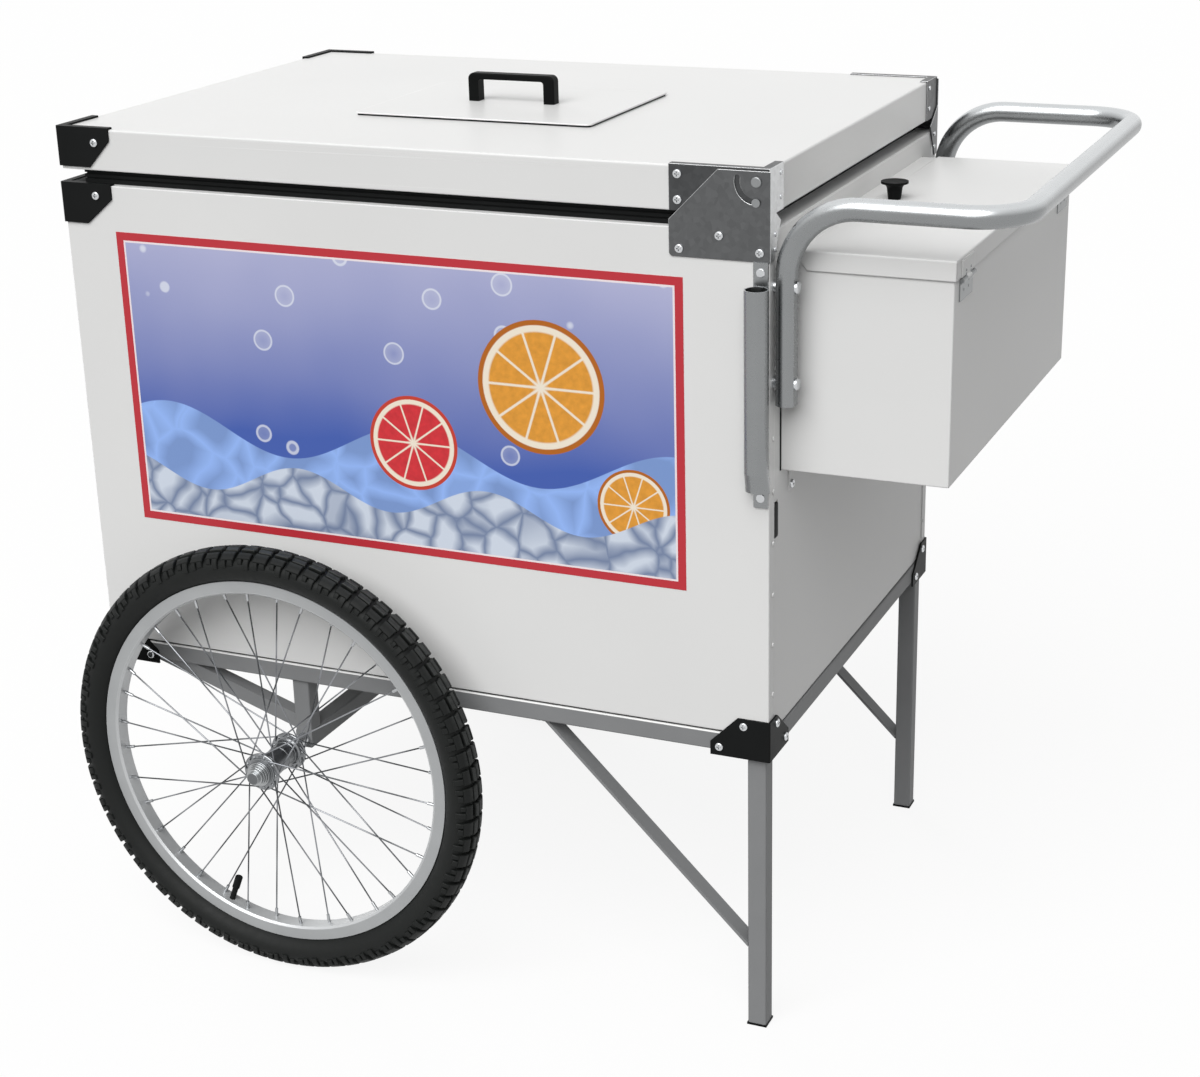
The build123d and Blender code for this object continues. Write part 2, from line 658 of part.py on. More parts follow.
# Fasteners, each given by its point, the way its head faces and the thickness it grips
def bottom_bracket_screws():
    side_x = BODY_LENGTH + BRACKET_PLATE
    side_y = LEFT - BRACKET_PLATE
    base = RAIL_UNDERSIDE - BRACKET_BELOW_RAIL
    grip = BRACKET_PLATE + SHEET
    high = BODY_BOTTOM + BRACKET_SCREW_HIGH
    low = base + BRACKET_SCREW_LOW
    screws = [pan_screw((side_x - BRACKET_LONG_NEAR, side_y, high), OUT_LEFT, grip),
              pan_screw((side_x - BRACKET_LONG_FAR, side_y, low), OUT_LEFT, grip),
              pan_screw((side_x, side_y + BRACKET_SHORT_NEAR, high), OUT_HANDLE_END, grip + SHEET),
              pan_screw((side_x, side_y + BRACKET_SHORT_FAR, low), OUT_HANDLE_END, grip)]
    return four_corners(screws)


def top_bracket_screws():
    grip = BRACKET_PLATE + SHEET
    across = TOP_BRACKET_LENGTH - TOP_BRACKET_SCREW_FROM_TIP
    height = BODY_TOP - TOP_BRACKET_SCREW_DROP
    return [pan_screw((across - BRACKET_PLATE, LEFT - BRACKET_PLATE, height), OUT_LEFT, grip),
            pan_screw((-BRACKET_PLATE, LEFT + across - BRACKET_PLATE, height), OUT_NOSE, grip + SHEET)]


def hinge_body_screws():
    face = LEFT - HINGE_PLATE
    places = [(HINGE_MIDDLE_SCREW, HINGE_MIDDLE_SCREW_DROP), (HINGE_FAR_SCREW, HINGE_FAR_SCREW_DROP),
              (HINGE_NEAR_SCREW, HINGE_NEAR_SCREW_DROP)]
    grip = HINGE_PLATE + SHEET
    screws = []
    for from_end, below_top in places:
        screws.append(pan_screw((BODY_LENGTH - from_end, face, BODY_TOP - below_top), OUT_LEFT, grip))
    return screws


def hinge_end_rivets():
    face = BODY_LENGTH + HINGE_PLATE
    grip = HINGE_PLATE + 2 * SHEET
    rivets = []
    for below_top in HINGE_END_RIVET_DROPS:
        rivets.append(rivet((face, LEFT + HINGE_END_RIVET_FROM_SIDE, BODY_TOP - below_top), OUT_HANDLE_END, grip))
    return rivets


def parasol_screws():
    heights = (PARASOL_STRIP_BOTTOM + PARASOL_SCREW_INSET, BODY_TOP - BODY_PLATE_DROP - PARASOL_SCREW_INSET)
    face = LEFT - PARASOL_STRIP
    grip = PARASOL_STRIP + SHEET
    return [domed((PARASOL_X, face, z), OUT_LEFT, grip, SCREW_HEAD_RADIUS, PARASOL_SCREW_HEAD, SCREW_RADIUS)
            for z in heights]


def return_rivets():
    rivets = []
    pitch = (BODY_HEIGHT - RIVET_FIRST - RIVET_LAST_DROP) / (RIVET_COUNT - 1)
    for i in range(RIVET_COUNT):
        point = (BODY_LENGTH, LEFT + RIVET_FROM_EDGE, BODY_BOTTOM + RIVET_FIRST + i * pitch)
        rivets.append(rivet(point, OUT_HANDLE_END, 2 * SHEET))
    return four_corners(rivets)


def handle_bolt_heights():
    return (HANDLE_BOTTOM + HANDLE_BOLT_LOW, HANDLE_LEG_TOP - HANDLE_BOLT_BELOW_BEND)


def handle_fixings():
    pieces = []
    grip = 2 * HANDLE_FLAT + HANDLE_STAND_OFF + 2 * SHEET
    for z in handle_bolt_heights():
        head = (HANDLE_X + HANDLE_FLAT, HANDLE_Y, z)
        pieces.append(domed(head, OUT_HANDLE_END, grip, HANDLE_BOLT_HEAD_RADIUS, HANDLE_BOLT_HEAD_HEIGHT,
                            HANDLE_BOLT_RADIUS))
        wall = (BODY_LENGTH, HANDLE_Y, z)
        leg = (BODY_LENGTH + HANDLE_STAND_OFF, HANDLE_Y, z)
        pieces.append(rod(wall, leg, SPACER_RADIUS) - rod(wall, leg, HANDLE_BOLT_RADIUS))
    return pieces


def box_ear_rows():
    return (BOX_Y[0] + BOX_EAR_INSET, BOX_Y[1] - BOX_EAR_INSET)


def box_ear_screws():
    face = BOX_WALL_X + SHEET
    height = BOX_UNDERSIDE - BOX_EAR_DROP + BOX_EAR_WIDTH / 2
    return [pan_screw((face, y, height), OUT_HANDLE_END, 2 * SHEET) for y in box_ear_rows()]


def lid_bracket_screws():
    grip = BRACKET_PLATE + SHEET
    across = LID_BRACKET_LENGTH - LID_BRACKET_SCREW_FROM_TIP
    height = LID_TOP - LID_BRACKET_SCREW_DROP
    return [pan_screw((across - BRACKET_PLATE, LID_LEFT - BRACKET_PLATE, height), OUT_LEFT, grip),
            pan_screw((-BRACKET_PLATE, LID_LEFT + across - BRACKET_PLATE, height), OUT_NOSE, grip)]


def lid_hinge_screws():
    face = LID_LEFT - HINGE_PLATE
    grip = HINGE_PLATE + SHEET
    pieces = []
    for drop in LID_HINGE_SCREW_DROPS:
        pieces.append(pan_screw((BODY_LENGTH - LID_HINGE_SCREW, face, LID_TOP - drop), OUT_LEFT, grip))
    end_face = LID_END + HINGE_PLATE
    for drop in LID_END_RIVET_DROPS:
        point = (end_face, LEFT + LID_FLANGE - LID_END_RIVET_INSET, LID_TOP - drop)
        pieces.append(rivet(point, OUT_HANDLE_END, grip))
    return pieces


def with_mirror(pieces):
    return pieces + [mirrored(piece) for piece in pieces]


# Screws and bolts hold through-going shanks, so the pieces they pass through are drilled with the same solids
BODY_SCREWS = bottom_bracket_screws() + parasol_screws() + box_ear_screws()
BODY_SCREWS += with_mirror(top_bracket_screws() + hinge_body_screws() + hinge_end_rivets())
PANEL_RIVETS = return_rivets()
HANDLE_FIXINGS = with_mirror(handle_fixings())
LID_SCREWS = with_mirror(lid_bracket_screws() + lid_hinge_screws())
CART_FASTENERS = BODY_SCREWS + PANEL_RIVETS + HANDLE_FIXINGS


# Box
def side_panel():
    height = (BODY_BOTTOM, BODY_TOP)
    outer = block((0, BODY_LENGTH), (LEFT, LEFT + CORNER_RETURN), height)
    outer = fillet(outer.edges().filter_by(Axis.Z).group_by(Axis.Y)[0], FOLD_RADIUS)
    inner = block((SHEET, BODY_LENGTH - SHEET), (LEFT + SHEET, LEFT + CORNER_RETURN), height)
    return outer - inner


def left_side_panel():
    return drilled(side_panel(), CART_FASTENERS)


def right_side_panel():
    return drilled(mirrored(side_panel()), CART_FASTENERS)


def nose_panel():
    panel = block((SHEET, 2 * SHEET), grown((LEFT, RIGHT), -SHEET), (BODY_BOTTOM, BODY_TOP - SHEET))
    return drilled(panel, CART_FASTENERS)


def handle_end_panel():
    x = (BODY_LENGTH - 2 * SHEET, BODY_LENGTH - SHEET)
    panel = block(x, grown((LEFT, RIGHT), -SHEET), (BODY_BOTTOM, BODY_TOP - SHEET))
    middle = LEFT + END_SLOT_FROM_SIDE
    level = BODY_TOP - END_SLOT_BELOW_TOP
    slot = block(x, (middle - END_SLOT_WIDTH / 2, middle + END_SLOT_WIDTH / 2),
                 (level - END_SLOT_HEIGHT / 2, level + END_SLOT_HEIGHT / 2))
    return drilled(panel - slot, CART_FASTENERS)


def drain_hole(radius, z):
    return rod((DRAIN_FROM_NOSE, DRAIN_FROM_MIDDLE, z[0]), (DRAIN_FROM_NOSE, DRAIN_FROM_MIDDLE, z[1]), radius)


def floor_panel():
    z = (BODY_BOTTOM, BODY_BOTTOM + SHEET)
    panel = block(grown((0, BODY_LENGTH), -2 * SHEET), grown((LEFT, RIGHT), -SHEET), z)
    return panel - drain_hole(DRAIN_RADIUS, z)


def tank_spans(inset):
    """The x and y spans of the tank, moved out from its inner faces by the inset."""
    return grown((0, BODY_LENGTH), inset - WALL), grown((LEFT, RIGHT), inset - WALL)


def tank_liner():
    floor = BODY_BOTTOM + WALL - LINER_SHEET
    top = BODY_TOP - SHEET
    outer = block(*tank_spans(LINER_SHEET), (floor, top))
    inner = block(*tank_spans(0), (floor + LINER_SHEET, top))
    return outer - inner - drain_hole(DRAIN_RADIUS, (floor, floor + LINER_SHEET))


def body_insulation():
    z = (BODY_BOTTOM + SHEET, BODY_TOP - SHEET)
    foam = block(grown((0, BODY_LENGTH), -2 * SHEET), grown((LEFT, RIGHT), -SHEET), z)
    foam = foam - block(*tank_spans(LINER_SHEET), (BODY_BOTTOM + WALL - LINER_SHEET, z[1]))
    return foam - drain_hole(DRAIN_RADIUS, (z[0], BODY_BOTTOM + WALL))


def top_rim():
    z = (BODY_TOP - SHEET, BODY_TOP)
    return block(grown((0, BODY_LENGTH), -SHEET), grown((LEFT, RIGHT), -SHEET), z) - block(*tank_spans(0), z)


def drain_pipe():
    top = BODY_BOTTOM + WALL
    bottom = BODY_BOTTOM - DRAIN_BELOW
    pipe = drain_hole(DRAIN_RADIUS, (bottom, top)) - drain_hole(DRAIN_RADIUS - DRAIN_WALL, (bottom, top))
    cap_span = (bottom - DRAIN_WALL, bottom - DRAIN_WALL + DRAIN_CAP_HEIGHT)
    cap = drain_hole(DRAIN_CAP_RADIUS, cap_span) - drain_hole(DRAIN_RADIUS, (bottom, cap_span[1]))
    return group([pipe, cap])


def bottom_brackets():
    base = RAIL_UNDERSIDE - BRACKET_BELOW_RAIL
    top = base + BRACKET_HEIGHT
    x = BODY_LENGTH + BRACKET_PLATE
    y = LEFT - BRACKET_PLATE
    side = side_plate([(x, base), (x - BRACKET_LONG, base), (x - BRACKET_LONG, base + BRACKET_TIP),
                       (x - BRACKET_LONG_TOP, top), (x, top)], (y, LEFT))
    end = end_plate([(y, base), (y + BRACKET_SHORT, base), (y + BRACKET_SHORT, base + BRACKET_TIP),
                     (y + BRACKET_SHORT_TOP, top), (y, top)], (BODY_LENGTH, x))
    bracket = side + end
    fold = bracket.edges().filter_by(Axis.Z).sort_by_distance((x, y, (base + top) / 2))[0]
    bracket = drilled(fillet(fold, FOLD_RADIUS), BODY_SCREWS)
    return group(four_corners([bracket]))


def nose_top_bracket(face, top, length, drop, foot, tip, screws):
    """A black bracket over a top corner at the nose end, with a lip on the top face."""
    x = -BRACKET_PLATE
    y = face - BRACKET_PLATE
    lip = top + BRACKET_PLATE
    outline = [(0, lip), (length, lip), (length, top - tip), (foot, top - drop), (0, top - drop)]
    side = side_plate([(x + u, z) for u, z in outline], (y, face))
    end = end_plate([(y + u, z) for u, z in outline], (x, 0))
    lips = block((x, x + length), (y, y + TOP_BRACKET_LIP), (top, lip))
    lips += block((x, x + TOP_BRACKET_LIP), (y, y + length), (top, lip))
    bracket = side + end + lips
    fold = bracket.edges().filter_by(Axis.Z).sort_by_distance((x, y, top))[0]
    return drilled(fillet(fold, FOLD_RADIUS), screws)


def body_corner_brackets():
    bracket = nose_top_bracket(LEFT, BODY_TOP, TOP_BRACKET_LENGTH, TOP_BRACKET_DROP, TOP_BRACKET_FOOT,
                               TOP_BRACKET_TIP, BODY_SCREWS)
    return both_sides(bracket)


def picture_sheet():
    x = (PICTURE_FROM_NOSE, BODY_LENGTH - PICTURE_FROM_END)
    z = (BODY_BOTTOM + PICTURE_FROM_BOTTOM, BODY_TOP - PICTURE_FROM_TOP)
    return block(x, (LEFT - PICTURE_SHEET, LEFT), z)


# Hinges of the lid
def hinge_body_plates():
    t = HINGE_PLATE
    start = BODY_LENGTH - HINGE_LENGTH
    end = BODY_LENGTH + t
    bottom = BODY_TOP - BODY_PLATE_DROP
    top = LID_TOP - BODY_PLATE_BELOW_LIP
    outline = [(start, bottom), (end, bottom), (end, top), (start + BODY_PLATE_TOP_CUT, top),
               (start, bottom + BODY_PLATE_SIDE)]
    plate = side_plate(outline, (LEFT - t, LEFT))
    corner = plate.edges().filter_by(Axis.Y).sort_by_distance((start, LEFT, bottom))[0]
    plate = fillet(corner, BODY_PLATE_CORNER)
    y = LEFT - t
    tip = BODY_TOP + END_FLANGE_TIP_HEIGHT
    flange = end_plate([(y, bottom), (LEFT + END_FLANGE_FOOT, bottom), (LEFT + END_FLANGE_TIP, tip),
                        (y, BODY_TOP + END_FLANGE_TOP)], (BODY_LENGTH, end))
    plate = plate + flange
    plate = plate - rod((PIVOT_X, LEFT - t, PIVOT_Z), (PIVOT_X, LEFT, PIVOT_Z), PIVOT_RADIUS)
    for step in range(2):
        plate = plate - slot_end(step * LID_TRAVEL)
    plate = plate - slot_arc()
    return both_sides(drilled(plate, BODY_SCREWS))


def slot_point(turn):
    """The slot pin's place when the lid is open by the turn, in degrees."""
    angle = math.radians(turn)
    return (PIVOT_X - SLOT_RADIUS * math.sin(angle), PIVOT_Z - SLOT_RADIUS * math.cos(angle))


def slot_end(turn):
    x, z = slot_point(turn)
    return rod((x, LEFT - HINGE_PLATE, z), (x, LEFT, z), SLOT_PIN_RADIUS + SLOT_CLEARANCE)


def slot_arc():
    width = 2 * (SLOT_PIN_RADIUS + SLOT_CLEARANCE)
    ring = Circle(SLOT_RADIUS + width / 2) - Circle(SLOT_RADIUS - width / 2)
    far = 4 * SLOT_RADIUS
    points = [(0, 0)]
    for part in range(3):
        angle = math.radians(part * LID_TRAVEL / 2)
        points.append((-far * math.sin(angle), -far * math.cos(angle)))
    sector = ring & make_face(Polyline(*points, close=True))
    return extrude(Plane.XZ.offset(-LEFT) * Pos(PIVOT_X, PIVOT_Z) * sector, HINGE_PLATE, dir=(0, -1, 0))


def hinge_pivots():
    face = LEFT - HINGE_PLATE
    head = rod((PIVOT_X, face - PIVOT_HEAD_HEIGHT, PIVOT_Z), (PIVOT_X, face, PIVOT_Z), PIVOT_HEAD_RADIUS)
    head = fillet(head.edges().sort_by(Axis.Y)[0], PIVOT_HEAD_HEIGHT * HEAD_ROUNDING)
    end = LID_LEFT - HINGE_GAP / 2
    return both_sides(head + rod((PIVOT_X, face, PIVOT_Z), (PIVOT_X, end, PIVOT_Z), PIVOT_RADIUS))


def hinge_lid_plates():
    t = HINGE_PLATE
    x = (BODY_LENGTH - HINGE_LENGTH, LID_END + t)
    y = (LID_LEFT - t, LID_LEFT)
    z = (LID_BOTTOM, LID_TOP + t)
    lip = (LID_TOP, LID_TOP + t)
    flange_end = LEFT + LID_FLANGE
    plate = block(x, y, z)
    plate += block(x, (y[0], y[0] + HINGE_LIP), lip)
    plate += block((LID_END, LID_END + t), (y[0], flange_end), z)
    plate += block((LID_END + t - HINGE_LIP, LID_END + t), (y[0], flange_end), lip)
    plate = plate - rod((PIVOT_X, y[0], PIVOT_Z), (PIVOT_X, y[1], PIVOT_Z), PIVOT_RADIUS + PIVOT_RUNNING_FIT)
    return both_sides(drilled(plate, LID_SCREWS))


def slot_pins():
    x, z = slot_point(0)
    head_face = LEFT - HINGE_PLATE - HINGE_GAP
    stud = rod((x, LID_LEFT - HINGE_PLATE, z), (x, head_face, z), SLOT_PIN_RADIUS)
    head = rod((x, head_face, z), (x, head_face - SLOT_HEAD_HEIGHT, z), SLOT_HEAD_RADIUS)
    return both_sides(stud + head)


# Lid
def lid_spans(inset):
    return (inset, LID_END - inset), (LID_LEFT + inset, -LID_LEFT - inset)


def lid_shell():
    outer = block(*lid_spans(0), (LID_BOTTOM, LID_TOP))
    soft = outer.edges().filter_by(Axis.Z) + outer.edges().group_by(Axis.Z)[-1]
    outer = fillet(soft, LID_FOLD)
    shell = outer - block(*lid_spans(SHEET), (LID_BOTTOM, LID_TOP - SHEET))
    shell = shell - block(NECK_X, NECK_Y, (LID_TOP - SHEET, LID_TOP))
    return drilled(shell, LID_SCREWS)


def lid_liner():
    sheet = LINER_SHEET
    top = LID_TOP - SHEET
    liner = block(*lid_spans(SHEET), (LID_BOTTOM, LID_BOTTOM + sheet))
    liner += block(grown(NECK_X, sheet), grown(NECK_Y, sheet), (LID_BOTTOM, top))
    return liner - block(NECK_X, NECK_Y, (LID_BOTTOM, top))


def lid_insulation():
    z = (LID_BOTTOM + LINER_SHEET, LID_TOP - SHEET)
    return block(*lid_spans(SHEET), z) - block(grown(NECK_X, LINER_SHEET), grown(NECK_Y, LINER_SHEET), z)


def lid_gasket():
    x = grown((0, BODY_LENGTH), -GASKET_END_INSET)
    y = grown((LEFT, RIGHT), -GASKET_SIDE_INSET)
    bottom = BODY_TOP + GASKET_GAP
    ring = block(x, y, (bottom, LID_BOTTOM))
    pitch = (LID_BOTTOM - bottom) / GASKET_RIDGES
    for i in range(1, GASKET_RIDGES):
        middle = bottom + i * pitch
        groove = (middle - GASKET_GROOVE / 2, middle + GASKET_GROOVE / 2)
        ring = ring - (block(x, y, groove) - block(grown(x, -GASKET_GROOVE), grown(y, -GASKET_GROOVE), groove))
    return ring - block(grown(x, -GASKET_WIDTH), grown(y, -GASKET_WIDTH), (bottom, LID_BOTTOM))


def lid_corner_brackets():
    bracket = nose_top_bracket(LID_LEFT, LID_TOP, LID_BRACKET_LENGTH, LID_BRACKET_DROP, LID_BRACKET_FOOT,
                               LID_BRACKET_TIP, LID_SCREWS)
    return both_sides(bracket)


# Hatch that lifts out of the lid
def hatch_cover():
    cover = block(HATCH_X, HATCH_Y, (COVER_BOTTOM, COVER_TOP))
    return fillet(cover.edges().filter_by(Axis.Z), HATCH_CORNER)


def hatch_seal():
    z = (LID_TOP, COVER_BOTTOM)
    edge = -HATCH_PLATE
    ring = block(grown(HATCH_X, edge), grown(HATCH_Y, edge), z)
    ring = fillet(ring.edges().filter_by(Axis.Z), HATCH_CORNER - HATCH_PLATE)
    return ring - block(NECK_X, NECK_Y, z)


def hatch_plug():
    fit = -HATCH_CLEARANCE
    return block(grown(NECK_X, fit), grown(NECK_Y, fit), (COVER_BOTTOM - HATCH_PLUG_DEPTH, COVER_BOTTOM))


def hatch_handle():
    middle_x = (HATCH_X[0] + HATCH_X[1]) / 2
    middle_y = (HATCH_Y[0] + HATCH_Y[1]) / 2
    half = HATCH_HANDLE_LENGTH / 2
    y = (middle_y - HATCH_HANDLE_WIDTH / 2, middle_y + HATCH_HANDLE_WIDTH / 2)
    top = COVER_TOP + HATCH_HANDLE_HEIGHT
    bow = block((middle_x - half, middle_x + half), y, (COVER_TOP, top))
    bow = fillet(bow.edges().filter_by(Axis.Y).group_by(Axis.Z)[-1], HATCH_HANDLE_BAR)
    gap_x = (middle_x - half + HATCH_HANDLE_FOOT, middle_x + half - HATCH_HANDLE_FOOT)
    gap = block(gap_x, y, (COVER_TOP, top - HATCH_HANDLE_BAR))
    gap = fillet(gap.edges().filter_by(Axis.Y).group_by(Axis.Z)[-1], HATCH_HANDLE_BAR / 2)
    bow = bow - gap
    rounded = bow.edges().filter_by(Axis.X).group_by(Axis.Z)[-1]
    return fillet(rounded, HATCH_HANDLE_BAR / 4)


# Side box
def side_box():
    x = (BOX_WALL_X, BOX_OUTER_X)
    z = (BOX_UNDERSIDE, BOX_RIM)
    outer = block(x, BOX_Y, z)
    outer = fillet(outer.edges().filter_by(Axis.Z).group_by(Axis.X)[-1], FOLD_RADIUS)
    box = outer - block(grown(x, -SHEET), grown(BOX_Y, -SHEET), (z[0] + SHEET, z[1]))
    box += block((BOX_WALL_X, BOX_WALL_X + BOX_STRIP), BOX_Y, (z[1] - SHEET, z[1]))
    ear_z = (BOX_UNDERSIDE - BOX_EAR_DROP, BOX_UNDERSIDE)
    for y in box_ear_rows():
        box += block((BOX_WALL_X, BOX_WALL_X + SHEET), (y - BOX_EAR_WIDTH / 2, y + BOX_EAR_WIDTH / 2), ear_z)
    return drilled(box, BODY_SCREWS)


def side_box_lid():
    x = (BODY_LENGTH + BOX_LID_SETBACK, BOX_LID_OUTER_X)
    y = grown(BOX_Y, BOX_LID_CLEARANCE + SHEET)
    z = (BOX_SKIRT_BOTTOM, BOX_TOP)
    lid = block(x, y, z)
    upper = lid.edges().group_by(Axis.Z)[-1]
    soft = upper.filter_by(Axis.X) + upper.filter_by(Axis.Y).sort_by(Axis.X)[-1:]
    soft = soft + lid.edges().filter_by(Axis.Z).group_by(Axis.X)[-1]
    lid = fillet(soft, FOLD_RADIUS)
    lid = lid - block((x[0], x[1] - SHEET), grown(y, -SHEET), (z[0], z[1] - SHEET))
    cut = [(x[0], z[0]), (x[0] + BOX_SKIRT_CUT, z[0]), (x[0], (z[0] + z[1]) / 2)]
    lid = lid - side_plate(cut, y)
    for start in (y[0] + FOLD_RADIUS, y[1] - FOLD_RADIUS - BOX_CORNER_SLIT):
        lid = lid - block((x[1] - SHEET, x[1]), (start, start + BOX_CORNER_SLIT), (z[0], z[1] - 2 * FOLD_RADIUS))
    return lid


def box_hinge_rows():
    """The start of each small hinge along y."""
    return (BOX_Y[0] + BOX_HINGE_INSET, BOX_Y[1] - BOX_HINGE_INSET - BOX_HINGE_LENGTH)


def knuckle(y, hole):
    barrel = rod((BOX_HINGE_X, y[0], BOX_HINGE_Z), (BOX_HINGE_X, y[1], BOX_HINGE_Z), BOX_HINGE_BARREL_RADIUS)
    return barrel - rod((BOX_HINGE_X, y[0], BOX_HINGE_Z), (BOX_HINGE_X, y[1], BOX_HINGE_Z), hole)


def knuckle_spans(start):
    """The three knuckles of one hinge, with a gap between them."""
    third = BOX_HINGE_LENGTH / 3
    gap = BOX_HINGE_KNUCKLE_GAP / 2
    spans = []
    for i in range(3):
        spans.append((start + i * third + (gap if i else 0), start + (i + 1) * third - (gap if i < 2 else 0)))
    return spans


def side_box_hinge_leaves():
    leaves = []
    for start in box_hinge_rows():
        first, _, last = knuckle_spans(start)
        whole = (start, start + BOX_HINGE_LENGTH)
        top = BOX_HINGE_Z - BOX_HINGE_BARREL_RADIUS - BOX_HINGE_KNUCKLE_GAP
        leaf = block((BOX_OUTER_X, BOX_OUTER_X + SHEET), whole, (top - BOX_HINGE_LEAF, top))
        for span in (first, last):
            tab = block((BOX_OUTER_X, BOX_HINGE_X), span, (top - SHEET, BOX_HINGE_Z))
            tab = tab - rod((BOX_HINGE_X, span[0], BOX_HINGE_Z), (BOX_HINGE_X, span[1], BOX_HINGE_Z),
                            BOX_HINGE_PIN_RADIUS)
            leaf += tab + knuckle(span, BOX_HINGE_PIN_RADIUS)
        leaves.append(leaf)
    return group(leaves)


def side_box_hinge_pins():
    pins = []
    for start in box_hinge_rows():
        pins.append(rod((BOX_HINGE_X, start, BOX_HINGE_Z), (BOX_HINGE_X, start + BOX_HINGE_LENGTH, BOX_HINGE_Z),
                        BOX_HINGE_PIN_RADIUS))
    return group(pins)


def side_lid_hinge_leaves():
    leaves = []
    hole = BOX_HINGE_PIN_RADIUS + BOX_HINGE_RUNNING_FIT
    for start in box_hinge_rows():
        middle = knuckle_spans(start)[1]
        whole = (start, start + BOX_HINGE_LENGTH)
        x = (BOX_LID_OUTER_X, BOX_LID_OUTER_X + SHEET)
        leaf = block(x, whole, (BOX_SKIRT_BOTTOM, BOX_TOP - 2 * FOLD_RADIUS))
        leaf += block(x, middle, (BOX_HINGE_Z, BOX_SKIRT_BOTTOM))
        leaf = leaf - rod((BOX_HINGE_X, middle[0], BOX_HINGE_Z), (BOX_HINGE_X, middle[1], BOX_HINGE_Z), hole)
        leaves.append(leaf + knuckle(middle, hole))
    return group(leaves)


def side_lid_knob():
    place = Pos(BODY_LENGTH + BOX_LID_SETBACK + KNOB_FROM_EDGE, LEFT + KNOB_FROM_LEFT, BOX_TOP)
    neck = KNOB_HEIGHT * KNOB_NECK_SHARE
    flare = KNOB_HEIGHT * KNOB_FLARE_SHARE
    dish = KNOB_HEIGHT - KNOB_DISH
    sides = [Line((0, 0), (KNOB_BASE_RADIUS, 0)),
             Line((KNOB_BASE_RADIUS, 0), (KNOB_NECK_RADIUS, neck)),
             TangentArc((KNOB_NECK_RADIUS, neck), (KNOB_TOP_RADIUS, flare), tangent=(0, 1)),
             Line((KNOB_TOP_RADIUS, flare), (KNOB_TOP_RADIUS, KNOB_HEIGHT)),
             TangentArc((0, dish), (KNOB_TOP_RADIUS, KNOB_HEIGHT), tangent=(1, 0)),
             Line((0, dish), (0, 0))]
    return place * revolve(Plane.XZ * make_face(sides), Axis.Z)


# Parasol holder
def parasol_holder():
    bottom = PARASOL_TUBE_BOTTOM
    top = bottom + PARASOL_TUBE_LENGTH
    start = bottom + PARASOL_CRIMP

    def filled(radius):
        straight = rod((0, 0, start), (0, 0, top), radius)
        flat = Ellipse(radius + PARASOL_TUBE_WALL / 2, radius - PARASOL_CRIMP_DEPTH)
        pressed = Plane.XY.offset(bottom) * Pos(0, PARASOL_CRIMP_DEPTH) * flat
        crimp = loft([pressed, Plane.XY.offset(start) * Circle(radius)])
        return straight + crimp

    tube = filled(PARASOL_TUBE_RADIUS) - filled(PARASOL_TUBE_RADIUS - PARASOL_TUBE_WALL)
    half = PARASOL_STRIP_WIDTH / 2
    z = (PARASOL_STRIP_BOTTOM, BODY_TOP - BODY_PLATE_DROP)
    strip = block((PARASOL_X - half, PARASOL_X + half), (LEFT - PARASOL_STRIP, LEFT), z)
    return group([Pos(PARASOL_X, PARASOL_Y, 0) * tube, drilled(strip, BODY_SCREWS)])


# Push handle
def handle_path():
    """The middle line of the bent tube, from the top of one leg to the top of the other."""
    near = HANDLE_Y
    far = -HANDLE_Y
    z = HANDLE_HEIGHT
    over_leg = HANDLE_X + HANDLE_BEND
    before_corner = HANDLE_CROSS_X - HANDLE_CORNER
    rise = TangentArc((HANDLE_X, near, HANDLE_LEG_TOP), (over_leg, near, z), tangent=(0, 0, 1))
    out = Line((over_leg, near, z), (before_corner, near, z))
    turn = TangentArc((before_corner, near, z), (HANDLE_CROSS_X, near + HANDLE_CORNER, z), tangent=(1, 0, 0))
    cross = Line((HANDLE_CROSS_X, near + HANDLE_CORNER, z), (HANDLE_CROSS_X, far - HANDLE_CORNER, z))
    back = TangentArc((HANDLE_CROSS_X, far - HANDLE_CORNER, z), (before_corner, far, z), tangent=(0, 1, 0))
    home = Line((before_corner, far, z), (over_leg, far, z))
    fall = TangentArc((over_leg, far, z), (HANDLE_X, far, HANDLE_LEG_TOP), tangent=(-1, 0, 0))
    return Wire([rise, out, turn, cross, back, home, fall])


def push_handle():
    def filled(radius, flat):
        start = Plane(origin=(HANDLE_X, HANDLE_Y, HANDLE_LEG_TOP), z_dir=(0, 0, 1))
        bent = sweep(start * Circle(radius), path=handle_path())
        section = Circle(radius) & Rectangle(2 * flat, 2 * radius)
        foot = Plane.XY.offset(HANDLE_BOTTOM) * Pos(HANDLE_X, HANDLE_Y) * section
        leg = extrude(foot, HANDLE_LEG_TOP - HANDLE_BOTTOM)
        return bent + leg + mirrored(leg)

    tube = filled(HANDLE_RADIUS, HANDLE_FLAT) - filled(HANDLE_RADIUS - HANDLE_WALL, HANDLE_FLAT - HANDLE_WALL)
    return drilled(tube, HANDLE_FIXINGS)


